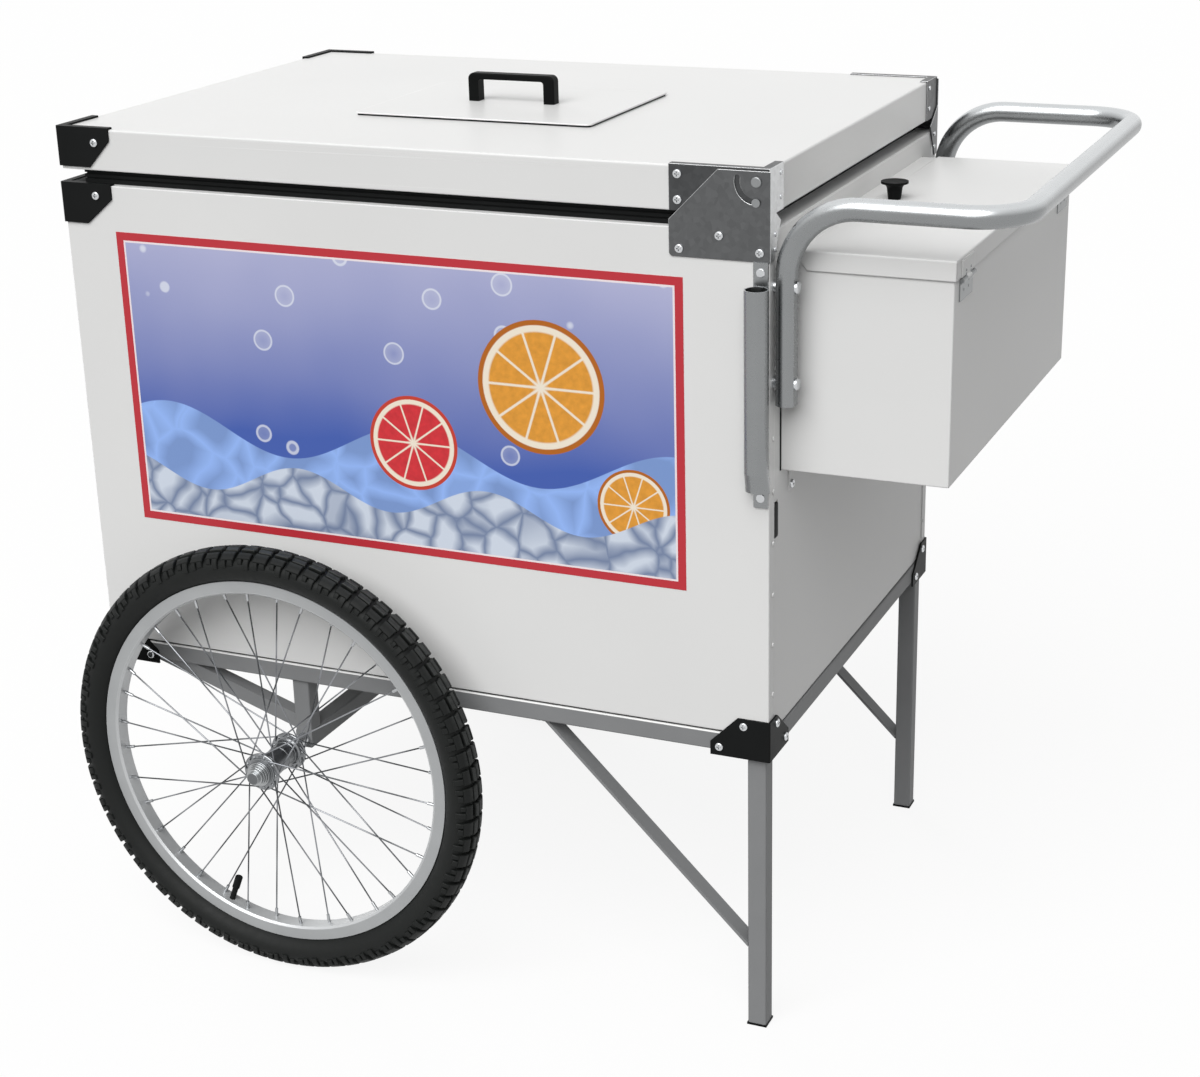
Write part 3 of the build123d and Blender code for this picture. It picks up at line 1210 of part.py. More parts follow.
PIECES = {
    "side_rails": side_rails, "end_rails": end_rails, "floor_bars": floor_bars, "legs": legs,
    "foot_caps": foot_caps, "leg_braces": leg_braces, "axle_beam": axle_beam, "axle_posts": axle_posts,
    "axle_struts": axle_struts, "wheel_axles": wheel_axles, "axle_nuts": axle_nuts,
    "bottom_brackets": bottom_brackets, "left_side_panel": left_side_panel, "right_side_panel": right_side_panel,
    "nose_panel": nose_panel, "handle_end_panel": handle_end_panel, "floor_panel": floor_panel,
    "body_insulation": body_insulation, "tank_liner": tank_liner, "top_rim": top_rim, "drain_pipe": drain_pipe,
    "body_corner_brackets": body_corner_brackets, "picture_sheet": picture_sheet,
    "hinge_body_plates": hinge_body_plates, "hinge_pivots": hinge_pivots, "parasol_holder": parasol_holder,
    "push_handle": push_handle, "side_box": side_box,
    "side_box_hinge_leaves": side_box_hinge_leaves, "side_box_hinge_pins": side_box_hinge_pins,
    "lid_shell": lid_shell, "lid_insulation": lid_insulation, "lid_liner": lid_liner, "lid_gasket": lid_gasket,
    "lid_corner_brackets": lid_corner_brackets, "hinge_lid_plates": hinge_lid_plates, "slot_pins": slot_pins,
    "hatch_cover": hatch_cover, "hatch_seal": hatch_seal, "hatch_plug": hatch_plug, "hatch_handle": hatch_handle,
    "side_box_lid": side_box_lid, "side_lid_knob": side_lid_knob, "side_lid_hinge_leaves": side_lid_hinge_leaves,
}
FASTENER_GROUPS = {
    "body_screws": BODY_SCREWS, "panel_rivets": PANEL_RIVETS, "handle_fixings": HANDLE_FIXINGS,
    "lid_screws": LID_SCREWS,
}
WHEEL_PIECES = {
    "tyre": tyre, "inner_tube": inner_tube, "rim": rim, "spokes": spokes, "hub": hub, "bearings": bearings,
}


def write(name, shape):
    place = Pos(-CART_MIDDLE_X, 0, 0)
    solids = [place * solid for solid in shape.solids()]
    whole = Compound(solids) if len(solids) > 1 else solids[0]
    export_step(whole, "parts/" + name + ".step")


os.makedirs("parts", exist_ok=True)
for name, make in PIECES.items():
    write(name, make())
for name, pieces in FASTENER_GROUPS.items():
    write(name, group(pieces))
for name, make in WHEEL_PIECES.items():
    left = wheel_place(make())
    write("left_" + name, left)
    write("right_" + name, mirrored(left))
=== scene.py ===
import json
import math
from functools import partial

import bmesh
import bpy
from bpy.props import FloatProperty, FloatVectorProperty, IntProperty, PointerProperty
from mathutils import Matrix, Vector


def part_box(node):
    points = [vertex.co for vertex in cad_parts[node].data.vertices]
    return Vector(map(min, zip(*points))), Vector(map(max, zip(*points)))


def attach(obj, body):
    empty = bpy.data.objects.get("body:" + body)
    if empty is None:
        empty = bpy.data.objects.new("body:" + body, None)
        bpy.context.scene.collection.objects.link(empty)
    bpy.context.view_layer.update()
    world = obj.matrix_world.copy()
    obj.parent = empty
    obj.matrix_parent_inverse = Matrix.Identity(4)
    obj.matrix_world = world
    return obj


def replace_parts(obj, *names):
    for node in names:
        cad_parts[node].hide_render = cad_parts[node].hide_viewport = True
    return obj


bl_info = {
    "name": "Beverage cart",
    "version": (1, 0, 0),
    "blender": (4, 5, 0),
    "location": "View3D > Sidebar > Beverage cart",
    "description": "Gives the solids of a beverage cart their finishes, knobbly tyres, a printed sheet and a studio",
    "category": "Object",
}

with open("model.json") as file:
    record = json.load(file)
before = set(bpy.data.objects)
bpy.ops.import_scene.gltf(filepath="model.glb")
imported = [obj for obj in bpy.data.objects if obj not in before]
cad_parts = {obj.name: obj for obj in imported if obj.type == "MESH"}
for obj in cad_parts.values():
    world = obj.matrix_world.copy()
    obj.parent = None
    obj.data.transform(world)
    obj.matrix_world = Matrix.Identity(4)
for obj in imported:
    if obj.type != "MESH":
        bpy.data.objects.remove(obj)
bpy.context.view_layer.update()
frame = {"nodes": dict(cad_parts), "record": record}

MM = 0.001
WHEELS = ("left", "right")
X_AXIS = Vector((1, 0, 0))
Y_AXIS = Vector((0, 1, 0))
Z_AXIS = Vector((0, 0, 1))

# Counts: segments of round shapes, and spokes on each flange of a hub
TYRE_SEGMENTS = 144
HUB_SEGMENTS = 64
CAP_SEGMENTS = 40
RIVET_SEGMENTS = 10
SPOKES_PER_FLANGE = 18

# Sizes of a wheel, in millimetres
FLANGE_RADIUS = 26
FLANGE_INNER = 32
FLANGE_OUTER = 36
SPOKE_CIRCLE = 22
SPOKE_HEAD_RISE = 1.6
HUB_END = 42
HUB_BORE = 8
BEARING_POCKET = 13
BEARING_SEAT = 34
CONE_FACE = 42.6
AXLE_TIP = 58.0
CAP_RINGS = (16.5, 14.9, 13.3, 11.7)
CAP_RING_WIDTH = 2.0
CAP_GROOVE_WIDTH = 1.1
CAP_GROOVE_DEPTH = 2.2
CAP_CHAMFER = 0.3
CAP_GROOVE_SLOPE = 0.05
NIPPLE_START = 230.5
RIM_STEP = 245.0
HUB_STEP = 17.6

# Sizes of a tyre, in millimetres, and of its tread, in shares of the pitch between blocks
RIM_WALL = 2.4
WALL_TUCK = 2.0
BEAD_DEPTH = 7.0
BLOCK_SUNK = 1.0
BLOCK_CHAMFER = 0.9
BLOCK_INSETS = (0.0, 0.35, 1.2)
CROWN_LAG = 0.07
CROWN_LEAN = 0.04
CROWN_SPAN = 0.78
SHOULDER_SPAN = (0, 0.81)
FIRST_LUG_SPAN = (0.04, 0.40)
SECOND_LUG_SPAN = (0.48, 0.77)

# Places and sizes of the trim, in millimetres, but for two shares: how much of its gap the black pads under the
# panels fill, and how much of their height is rounded. The pads and the bead round the side box are painted shade.
SLOT_FROM_SIDE = 26.5
SLOT_FROM_TOP = 354
PLUG_CORNER = 3
PLUG_SUNK = 1.2
BUFFER_FROM_NOSE = 9
BUFFER_FROM_SIDE = 42
BUFFER_LENGTH = 66
BUFFER_PROUD = 1.6
BUFFER_CORNER = 2
BUFFER_CLEARANCE = 0.5
SHADE_PAD_FILL = 0.6
SHADE_PAD_PROUD = 0.5
SHADE_PAD_SUNK = 1.5
SHADE_PAD_ROUNDING = 0.4
HINGE_SHEET = 1.2
HINGE_LEAF = 54
RIVET_SPACING = 21
RIVET_RISE = 0.9
LID_RIVET_LIFTS = (4.5, 9.0)
BOX_RIVET_LIFTS = (-6.0, -14.0)

# Centre, radius and kind of each printed slice, in millimetres from the sheet's lower left corner
SLICES = (((600, 240), 85, "amber"), ((420, 150), 62, "red"), ((720, 100), 48, "amber"))

# Level, swell, length and phase of the printed waves, and how much wider the ripples of the back one are
BACK_WAVE = (140, 30, 360, 0.6)
FRONT_WAVE = (75, 22, 270, 2.1)
BACK_RIPPLE = 1.6


def linear(code):
    """An sRGB hex colour as linear red, green and blue."""
    channels = [int(code[i:i + 2], 16) / 255 for i in (1, 3, 5)]
    return tuple(c / 12.92 if c <= 0.04045 else ((c + 0.055) / 1.055) ** 2.4 for c in channels)


def colour(name, description, code):
    return FloatVectorProperty(name=name, description="Colour of the " + description, subtype="COLOR", size=3, min=0,
                               max=1, default=linear(code))


def length(name, description, millimetres):
    return FloatProperty(name=name, description=description, unit="LENGTH", min=0, default=millimetres * MM)


def light_setting(name, description, value):
    return FloatProperty(name=name, description=description, min=0, default=value)


def angle_setting(name, description, radians):
    return FloatProperty(name=name, description=description, subtype="ANGLE", default=radians)


def direction_setting(name, description, vector):
    return FloatVectorProperty(name=name, description=description, subtype="DIRECTION", size=3, default=vector)


class CartColours(bpy.types.PropertyGroup):
    panel: colour("Panel white", "painted sheets of the box, lid and side box", "#E6E6E5")
    # The fold colour is a painted highlight on the upper edges of the panels' folds
    fold: colour("Panel folds", "rubbed folds of the painted sheets", "#FFFFFF")
    frame_tube: colour("Frame tube", "square tubes under the box", "#88898A")
    handle: colour("Handle tube", "push handle and the parasol holder", "#8C8E8F")
    # Hinge plate faces are painted dark as a painted reflection, the lid's plates darker as painted shade; edges are
    # painted highlight
    plate_face: colour("Hinge plate face", "broad faces of the body's hinge plates", "#5E5F60")
    lid_plate_shaded_face: colour("Lid plate face", "broad faces of the lid's hinge plates", "#4A4B4C")
    plate_edge_highlight: colour("Hinge plate edge", "rubbed edges of the hinge plates", "#D6D7D8")
    hardware: colour("Hardware", "screws, nuts and bolts", "#C6C8CA")
    dull_pin: colour("Dull pin", "hinge pivots, slot pins and box hinges", "#8A8C8D")
    bracket: colour("Bracket black", "coated corner brackets", "#191A1A")
    plastic: colour("Plastic black", "moulded knob, handle and caps", "#0F1010")
    rubber: colour("Seal black", "seals", "#1C1D1D")
    tyre: colour("Tyre black", "tyres", "#121413")
    dust: colour("Tyre dust", "worn tops of the tread blocks", "#464847")
    rim: colour("Rim silver", "flanks of the rims and of the axle end caps", "#A8AAAB")
    # The rim well tint is lighter than the flanks: a painted highlight on the faces that look at the axle
    rim_well_highlight: colour("Rim well", "faces of the rims that look at the axle", "#C4C6C7")
    spoke: colour("Spoke wire", "spokes where they are dull", "#4C4E50")
    # The bright spoke wire is a painted reflection, in stretches along the spokes
    spoke_reflection: colour("Bright spoke wire", "spokes where their plating shines", "#94969A")
    nipple: colour("Spoke nipple", "spoke nipples", "#AEB0B2")
    hub: colour("Hub", "flanges of the turned hubs", "#8A8C8E")
    hub_barrel: colour("Hub barrel", "barrels and end rings of the hubs", "#747678")
    axle_end: colour("Axle end", "sawn ends of the axles", "#6E7072")
    # The rail edge colour is a painted highlight along the upper edges of the side rails
    rail_edge_highlight: colour("Rail edge", "rubbed upper edges of the side rails", "#F2F2F1")
    liner: colour("Liner steel", "tank and lid liners", "#C4C6C8")
    foam: colour("Foam", "insulating foam", "#EFE9D6")


class PrintColours(bpy.types.PropertyGroup):
    border: colour("Border red", "frame round the printed sheet", "#C0343E")
    line: colour("Inner line", "thin line inside the frame", "#F4E9EC")
    sky_top: colour("Upper field", "field at its top", "#B9BBDC")
    sky_low: colour("Lower field", "field above the waves", "#4560B0")
    bubble: colour("Bubble", "bubbles' outlines", "#EEF2FB")
    wave_back: colour("Back wave", "wave behind", "#7E9BD2")
    wave_front: colour("Front wave", "wave in front", "#D5DEEC")
    ripple: colour("Ripple", "ripples in the front wave", "#66789C")
    rind_amber: colour("Amber rind", "rind of the amber slices", "#B5651A")
    flesh_amber: colour("Amber flesh", "flesh of the amber slices", "#E09A3A")
    rind_red: colour("Red rind", "rind of the red slice", "#C8402F")
    flesh_red: colour("Red flesh", "flesh of the red slice", "#D0323A")
    pith: colour("Pith", "pith of the slices", "#F6EBD8")


class PrintSizes(bpy.types.PropertyGroup):
    border: length("Border", "Width of the red frame", 10.5)
    line: length("Line", "Width of the pale line inside the frame", 2.5)
    bubble: length("Bubbles", "Distance between bubbles", 60)
    ripple: length("Ripples", "Width of one ripple in the front wave", 42)


class WheelSizes(bpy.types.PropertyGroup):
    pitches: IntProperty(name="Blocks", description="Tread blocks in each row round the tyre", min=12, default=76)
    block: length("Block height", "Height of the tread blocks at the crown", 5.4)
    lug: length("Lug height", "Height of the side lugs at their lower ends", 2.2)
    wall: length("Wall", "Thickness of the tyre wall", 4.0)
    head: length("Spoke head", "Radius of the spoke heads on the hub flanges", 2.2)
    cap: length("Axle end", "Radius of the ends of the axles", 8.6)


class TrimSizes(bpy.types.PropertyGroup):
    # The bead is black and paints the shade of the gap round the side box
    bead: length("Shade bead", "Radius of the black bead that paints the shade round the side box", 1.5)
    plug_width: length("Plug width", "Width of the plug in the handle end's slot", 13.4)
    plug_height: length("Plug height", "Height of the plug in the handle end's slot", 44.4)
    plug_proud: length("Plug proud", "How far the plug stands out of the wall", 1.0)
    rivet: length("Hinge rivet", "Radius of the rivets in the side box hinges", 1.8)


class StageSettings(bpy.types.PropertyGroup):
    eye: FloatVectorProperty(name="Eye", description="Place of the camera", subtype="XYZ", unit="LENGTH", size=3,
                             default=(1.17903, -2.71957, 1.61590))
    yaw: angle_setting("Yaw", "Turn of the camera to the left of +Y", 0.406152)
    pitch: angle_setting("Pitch", "How far the camera looks down", 0.356827)
    roll: angle_setting("Roll", "Turn of the camera about its own line", -0.021041)
    focal: FloatProperty(name="Focal length", description="Focal length on a 36 mm wide sensor", unit="CAMERA",
                         default=67.3244)
    shift: FloatVectorProperty(name="Shift", description="Shift of the lens, in picture widths", size=2,
                               default=(-0.025617, 0.003255))
    key: light_setting("Key light", "Strength of the broad key light", 2.74)
    key_angle: angle_setting("Key size", "Width of the key light in the sky", math.radians(55))
    key_from: direction_setting("Key direction", "Direction that the key light comes from", (-0.02, -0.70, 0.70))
    fill: light_setting("Fill light", "Strength of the low light from behind", 1.5)
    fill_angle: angle_setting("Fill size", "Width of the fill light in the sky", math.radians(30))
    fill_from: direction_setting("Fill direction", "Direction that the fill light comes from", (-0.70, 0.70, 0.10))
    ambient: light_setting("Ambient", "Strength of the light from all round", 0.36)
    floor: colour("Floor", "studio floor as it is seen", "#F6F6F5")
    bounce: colour("Floor bounce", "floor in the light that it throws back", "#747474")
    floor_lift: FloatProperty(name="Floor lift", description="Share of plain white in the floor as it is seen",
                              subtype="FACTOR", min=0, max=1, default=0.88)


# Helpers for materials. A mix takes its share as input 0 and its two colours as inputs 6 and 7, and a range takes a
# value, the two ends that it comes from and the two that it goes to.
def fill(made, inputs):
    """Sets a node's inputs, by name or in order, to values or links; a node stands for its first output in use."""
    for name, value in inputs.items() if isinstance(inputs, dict) else enumerate(inputs):
        if isinstance(value, bpy.types.Node):
            value = next(socket for socket in value.outputs if socket.enabled)
        if isinstance(value, bpy.types.NodeSocket):
            made.id_data.links.new(value, made.inputs[name])
        else:
            made.inputs[name].default_value = value


def node(tree, kind, inputs=(), **settings):
    """Adds a shader node with its settings, and fills its inputs."""
    made = tree.nodes.new("ShaderNode" + kind)
    for name, value in settings.items():
        setattr(made, name, value)
    fill(made, inputs)
    return made


def cleared(block):
    """Takes the nodes out of a material or a world, and gives what adds nodes to it."""
    block.use_nodes = True
    block.node_tree.nodes.clear()
    return partial(node, block.node_tree)


def start(name, **sockets):
    """A new material with one shader whose plain sockets are set here; underscores stand for spaces."""
    material = bpy.data.materials.new(name)
    add = cleared(material)
    shader = add("BsdfPrincipled", {k.replace("_", " "): v for k, v in sockets.items()})
    add("OutputMaterial", {"Surface": shader})
    place = add("TexCoord").outputs["Object"]
    return material, add, shader, place


def per_metre(millimetres):
    """The texture scale that makes one feature this many millimetres wide."""
    return 1 / (millimetres * MM)


def shade(rgb, share=1.0):
    """An opaque colour, made darker or lighter by a share."""
    return tuple(min(1.0, channel * share) for channel in rgb[:3]) + (1.0,)


def cloudy(add, place, size_mm, detail, rgb, dark, light):
    """Noise this many millimetres wide, and a tint that it takes from a dark to a light share of itself."""
    cloud = add("TexNoise", {"Vector": place, "Scale": per_metre(size_mm), "Detail": detail})
    return cloud, add("Mix", {0: cloud, 6: shade(rgb, dark), 7: shade(rgb, light)}, data_type="RGBA")


def grained(add, place, size_mm, detail, strength, depth_mm, **normal):
    """Noise this many millimetres wide, and the bumps that it makes on a surface."""
    grain = add("TexNoise", {"Vector": place, "Scale": per_metre(size_mm), "Detail": detail})
    return grain, add("Bump", {"Height": grain, "Strength": strength, "Distance": depth_mm * MM, **normal})


def upper_edges(add, rounded, flat, bend, rise):
    """One where the rounded normal turns away from the flat one and doesn't look down, and nought elsewhere."""
    turned = add("VectorMath", (rounded, flat), operation="DOT_PRODUCT")
    bent = add("MapRange", (turned, *bend))
    lie = add("SeparateXYZ", {"Vector": rounded}).outputs["Z"]
    upward = add("MapRange", (lie, *rise))
    return add("Math", (bent, upward), operation="MULTIPLY")


def around_axle(add, place, centre):
    """A surface point measured from the middle of its wheel, and its distance from the axle."""
    from_centre = add("VectorMath", (place, centre), operation="SUBTRACT")
    flat = add("VectorMath", (from_centre, (1, 0, 1)), operation="MULTIPLY")
    return from_centre, add("VectorMath", (flat,), operation="LENGTH")


def cover(material, *names):
    for name in names:
        mesh = frame["nodes"][name].data
        mesh.materials.clear()
        mesh.materials.append(material)


# Materials
def coil_coated_steel(tints):
    # White coil-coated steel: an even film with a faint rolled ripple, a soft sheen and a little handling haze. Its
    # folds are slightly round, and where they turn upwards they are painted pure white, a painted highlight.
    material, add, shader, place = start("White coil-coated steel", IOR=1.5, Specular_IOR_Level=0.25)
    cloud, tone = cloudy(add, place, 260, 3.0, tints.panel, 0.965, 1.03)
    rough = add("MapRange", (cloud, 0, 1, 0.30, 0.42))
    fold = add("Bevel", {"Radius": 2.2 * MM}, samples=6)
    flat = add("NewGeometry").outputs["Normal"]
    # Painted highlight: the upper edges of the folds are mixed towards the fold colour
    painted_highlight = upper_edges(add, fold, flat, (0.995, 0.93), (-0.3, -0.05))
    film = add("Mix", {0: painted_highlight, 6: tone, 7: shade(tints.fold)}, data_type="RGBA")
    bump = grained(add, place, 2.5, 2.0, 0.06, 0.1, Normal=fold)[1]
    fill(shader, {"Base Color": film, "Roughness": rough, "Normal": bump})
    return material


def zinc_plated(name, rgb, roughness, cloud_mm=12, grain_mm=0.8, contrast=0.1, hollow_mm=2.5, painted_top_highlight=1.0):
    # Zinc plated steel: grey and slightly cloudy, with fine lines and specks left from rolling under the plating,
    # painted shade in hollows as narrow as a driver's recess, and upper sides made brighter as a painted highlight.
    material, add, shader, place = start(name, Metallic=1.0)
    tone = cloudy(add, place, cloud_mm, 4.0, rgb, 1 - contrast, 1 + contrast)[1]
    grain, bump = grained(add, place, grain_mm, 3.0, 0.02, 0.1)
    rough = add("MapRange", (grain, 0, 1, roughness * 0.85, roughness * 1.15))
    # Painted shade in recesses from ambient occlusion, and a painted highlight on faces that look up
    hollow = add("AmbientOcclusion", {"Distance": hollow_mm * MM}, samples=8, only_local=True).outputs["AO"]
    recess_shade = add("MapRange", (hollow, 0.25, 0.55, 0.12, 1.0))
    facing = add("SeparateXYZ", {"Vector": add("TexCoord").outputs["Normal"]}).outputs["Z"]
    painted_highlight = add("MapRange", (facing, 0.25, 0.75, 1.0, painted_top_highlight))
    painted_light_scale = add("Math", (recess_shade, painted_highlight), operation="MULTIPLY")
    painted_light_tone = add("VectorMath", {0: tone, "Scale": painted_light_scale}, operation="SCALE")
    fill(shader, {"Base Color": painted_light_tone, "Roughness": rough, "Normal": bump})
    return material


def painted_tube(name, tints, top_rgb):
    # Square steel tube under thin silver lacquer: a soft grey with a weak shine, cloudy where the film is thin, and
    # faces that look up in the top colour, which on the side rails is a painted highlight along their upper edges.
    material, add, shader, place = start(name, Specular_IOR_Level=0.12)
    facing = add("SeparateXYZ", {"Vector": add("TexCoord").outputs["Normal"]}).outputs["Z"]
    upper = add("MapRange", (facing, 0.2, 0.45))
    tone = cloudy(add, place, 70, 4.0, tints.frame_tube, 0.92, 1.08)[1]
    # Faces that look up take the top colour: a painted highlight on the side rails
    painted_highlight = add("Mix", {0: upper, 6: tone, 7: shade(top_rgb)}, data_type="RGBA")
    grain, bump = grained(add, place, 1.5, 3.0, 0.08, 0.1)
    rough = add("MapRange", (grain, 0, 1, 0.38, 0.52))
    fill(shader, {"Base Color": painted_highlight, "Roughness": rough, "Normal": bump})
    return material


def galvanised_plate(name, face_rgb, edge_rgb):
    # Galvanised sheet: zinc crystals a few millimetres wide under a dull shine. The faces' dark tone is a painted
    # reflection, and the upper bends and cut edges are painted bright as a painted highlight, as are the near end
    # flanges beside the parasol holder.
    material, add, shader, place = start(name, Metallic=1.0)
    edge = add("Bevel", {"Radius": 1.3 * MM}, samples=8)
    rounded = add("VectorTransform", {"Vector": edge}, vector_type="NORMAL", convert_from="WORLD",
                  convert_to="OBJECT")
    # Painted highlight on the upper bends and edges, and on the end flanges on the near side
    lit = upper_edges(add, rounded, add("TexCoord").outputs["Normal"], (0.99, 0.88), (-0.3, 0.1))
    across = add("SeparateXYZ", {"Vector": place}).outputs["Y"]
    left = add("Math", (across, 0.0), operation="LESS_THAN")
    endways = add("SeparateXYZ", {"Vector": rounded}).outputs["X"]
    on_end = add("MapRange", (endways, 0.5, 0.8))
    flange = add("Math", (left, on_end), operation="MULTIPLY")
    painted_highlight = add("Math", (lit, flange), operation="MAXIMUM")
    base = add("Mix", {0: painted_highlight, 6: shade(face_rgb), 7: shade(edge_rgb)}, data_type="RGBA")
    crystal = add("TexVoronoi", {"Vector": place, "Scale": per_metre(7)})
    glint = add("SeparateColor", {"Color": crystal.outputs["Color"]}).outputs["Red"]
    bright = add("MapRange", (glint, 0, 1, 0.93, 1.07))
    tone = add("VectorMath", {0: base, "Scale": bright}, operation="SCALE")
    rough = add("MapRange", (glint, 0, 1, 0.34, 0.42))
    fill(shader, {"Base Color": tone, "Roughness": rough, "Normal": edge})
    return material


def moulded_black(name, rgb, roughness, grain_mm=1.5, depth_mm=0.1, radius_mm=0.6):
    # Black coating or moulding: a fine even grain that breaks up the shine, and edges rounded by the film.
    material, add, shader, place = start(name, IOR=1.5, Specular_IOR_Level=0.05)
    haze, tone = cloudy(add, place, 60, 3.0, rgb, 0.8, 1.3)
    rough = add("MapRange", (haze, 0, 1, roughness - 0.06, roughness + 0.08))
    edge = add("Bevel", {"Radius": radius_mm * MM}, samples=4)
    bump = grained(add, place, grain_mm, 2.0, 0.2, depth_mm, Normal=edge)[1]
    fill(shader, {"Base Color": tone, "Roughness": rough, "Normal": bump})
    return material


def tyre_rubber(tints, centre, outer):
    # Tyre rubber: matt black walls with faint mould haze, and block tops scuffed to a dusty grey.
    material, add, shader, place = start("Tyre rubber", IOR=1.5, Specular_IOR_Level=0.2)
    radius = around_axle(add, place, centre)[1]
    worn = add("MapRange", (radius, outer - 5 * MM, outer - 0.5 * MM))
    speck = add("TexNoise", {"Vector": place, "Scale": per_metre(9), "Detail": 5.0})
    dusty = add("Math", (worn, speck), operation="MULTIPLY")
    tone = add("Mix", {0: dusty, 6: shade(tints.tyre), 7: shade(tints.dust)}, data_type="RGBA")
    rough = add("MapRange", (speck, 0, 1, 0.45, 0.65))
    bump = grained(add, place, 1.6, 2.0, 0.15, 0.2)[1]
    fill(shader, {"Base Color": tone, "Roughness": rough, "Normal": bump})
    return material


def turned_metal(name, tint, inner_tint, step, centre, roughness, metallic=1.0, line_mm=1.0):
    # Turned or extruded metal: fine lines that run round the axle, with a cloudy grey shine between them, and
    # another tint on the faces nearer to the axle than the step.
    material, add, shader, place = start(name, Metallic=metallic)
    from_centre, radius = around_axle(add, place, centre)
    across = add("SeparateXYZ", {"Vector": from_centre}).outputs["Y"]
    section = add("CombineXYZ", {"X": radius, "Y": across})
    lines, bump = grained(add, section, line_mm, 2.0, 0.1, 0.1)
    cloud = add("TexNoise", {"Vector": place, "Scale": per_metre(45), "Detail": 3.0})
    outward = add("MapRange", (radius, step - 0.6 * MM, step + 0.6 * MM))
    base = add("Mix", {0: outward, 6: shade(inner_tint), 7: shade(tint)}, data_type="RGBA")
    bright = add("MapRange", (cloud, 0, 1, 0.9, 1.1))
    tone = add("VectorMath", {0: base, "Scale": bright}, operation="SCALE")
    rough = add("MapRange", (lines, 0, 1, roughness * 0.75, roughness * 1.3))
    fill(shader, {"Base Color": tone, "Roughness": rough, "Normal": bump})
    return material


def drawn_spoke(tints, centre, nipple_start):
    # Drawn steel wire: grey, and bright in stretches placed by noise, a painted reflection, with plated nipples at the
    # rim.
    material, add, shader, place = start("Drawn spoke wire", Metallic=1.0)
    radius = around_axle(add, place, centre)[1]
    # Noise places stretches of painted reflection along the wire
    reflection = add("TexNoise", {"Vector": place, "Scale": per_metre(80), "Detail": 1.0})
    painted_reflection = add("MapRange", (reflection, 0.42, 0.6))
    wire = add("Mix", {0: painted_reflection, 6: shade(tints.spoke), 7: shade(tints.spoke_reflection)}, data_type="RGBA")
    nipple = add("MapRange", (radius, nipple_start - 0.5 * MM, nipple_start + 0.5 * MM))
    tone = add("Mix", {0: nipple, 6: wire, 7: shade(tints.nipple)}, data_type="RGBA")
    grain = add("TexNoise", {"Vector": place, "Scale": per_metre(25), "Detail": 3.0})
    rough = add("MapRange", (grain, 0, 1, 0.22, 0.36))
    fill(shader, {"Base Color": tone, "Roughness": rough})
    return material


def brushed_liner(tints):
    # Brushed stainless sheet: fine level scratches along the length, drawn wider than real so that they show.
    material, add, shader, place = start("Brushed stainless liner", Metallic=1.0)
    drawn = add("VectorMath", (place, (0.02, 0.02, 1.0)), operation="MULTIPLY")
    hair, tone = cloudy(add, drawn, 1.2, 3.0, tints.liner, 0.88, 1.08)
    rough = add("MapRange", (hair, 0, 1, 0.28, 0.46))
    fill(shader, {"Base Color": tone, "Roughness": rough})
    return material


def rigid_foam(tints):
    # Rigid polyurethane foam: a pale cream cut face of small closed cells, quite matt.
    material, add, shader, place = start("Rigid foam", Roughness=0.9)
    cells = add("TexVoronoi", {"Vector": place, "Scale": per_metre(3)})
    tone = add("Mix", {0: cells, 6: shade(tints.foam), 7: shade(tints.foam, 0.82)}, data_type="RGBA")
    bump = add("Bump", {"Height": cells, "Strength": 0.5, "Distance": 0.5 * MM})
    fill(shader, {"Base Color": tone, "Normal": bump})
    return material


# Layers of the printed sheet, each drawn over the colour below it
def bubble_layer(add, under, flat, spacing, rgb):
    """Scattered round bubbles: a thin pale outline and a faint fill."""
    bubble_radius = 0.22
    cell = add("TexVoronoi", {"Vector": flat, "Scale": 1 / spacing, "Randomness": 0.75})
    away = add("Math", (cell, bubble_radius), operation="SUBTRACT")
    rim = add("Math", (away,), operation="ABSOLUTE")
    outline = add("MapRange", (rim, 0.012, 0.03, 0.65, 0.0))
    faint = add("MapRange", (away, -0.2, 0.0, 0.05, 0.22))
    inside = add("Math", (away, 0.0), operation="LESS_THAN")
    filled = add("Math", (faint, inside), operation="MULTIPLY")
    share = add("Math", (outline, filled), operation="MAXIMUM")
    return add("Mix", {0: share, 6: under, 7: shade(rgb)}, data_type="RGBA")


def wave_mask(add, across, up, level_mm, swell_mm, length_mm, phase):
    """One below a swelling line across the sheet, and nought above it."""
    turn = add("Math", (across, 2 * math.pi / (length_mm * MM), phase), operation="MULTIPLY_ADD")
    swing = add("Math", (turn,), operation="SINE")
    crest = add("Math", (swing, swell_mm * MM, level_mm * MM), operation="MULTIPLY_ADD")
    depth = add("Math", (crest, up), operation="SUBTRACT")
    return add("MapRange", (depth, -0.5 * MM, 0.5 * MM))


def rippled(add, flat, size, rgb, line_rgb):
    """Still water from above: pale cells with soft darker lines between them."""
    drift = add("TexNoise", {"Vector": flat, "Scale": 0.6 / size, "Detail": 2.0}).outputs["Color"]
    moved = add("VectorMath", (drift, (size, 0, size), flat), operation="MULTIPLY_ADD")
    cells = add("TexVoronoi", {"Vector": moved, "Scale": 1 / size}, feature="DISTANCE_TO_EDGE")
    lines = add("MapRange", (cells, 0.0, 0.22, 0.9, 0.0))
    return add("Mix", {0: lines, 6: shade(rgb), 7: shade(line_rgb)}, data_type="RGBA")


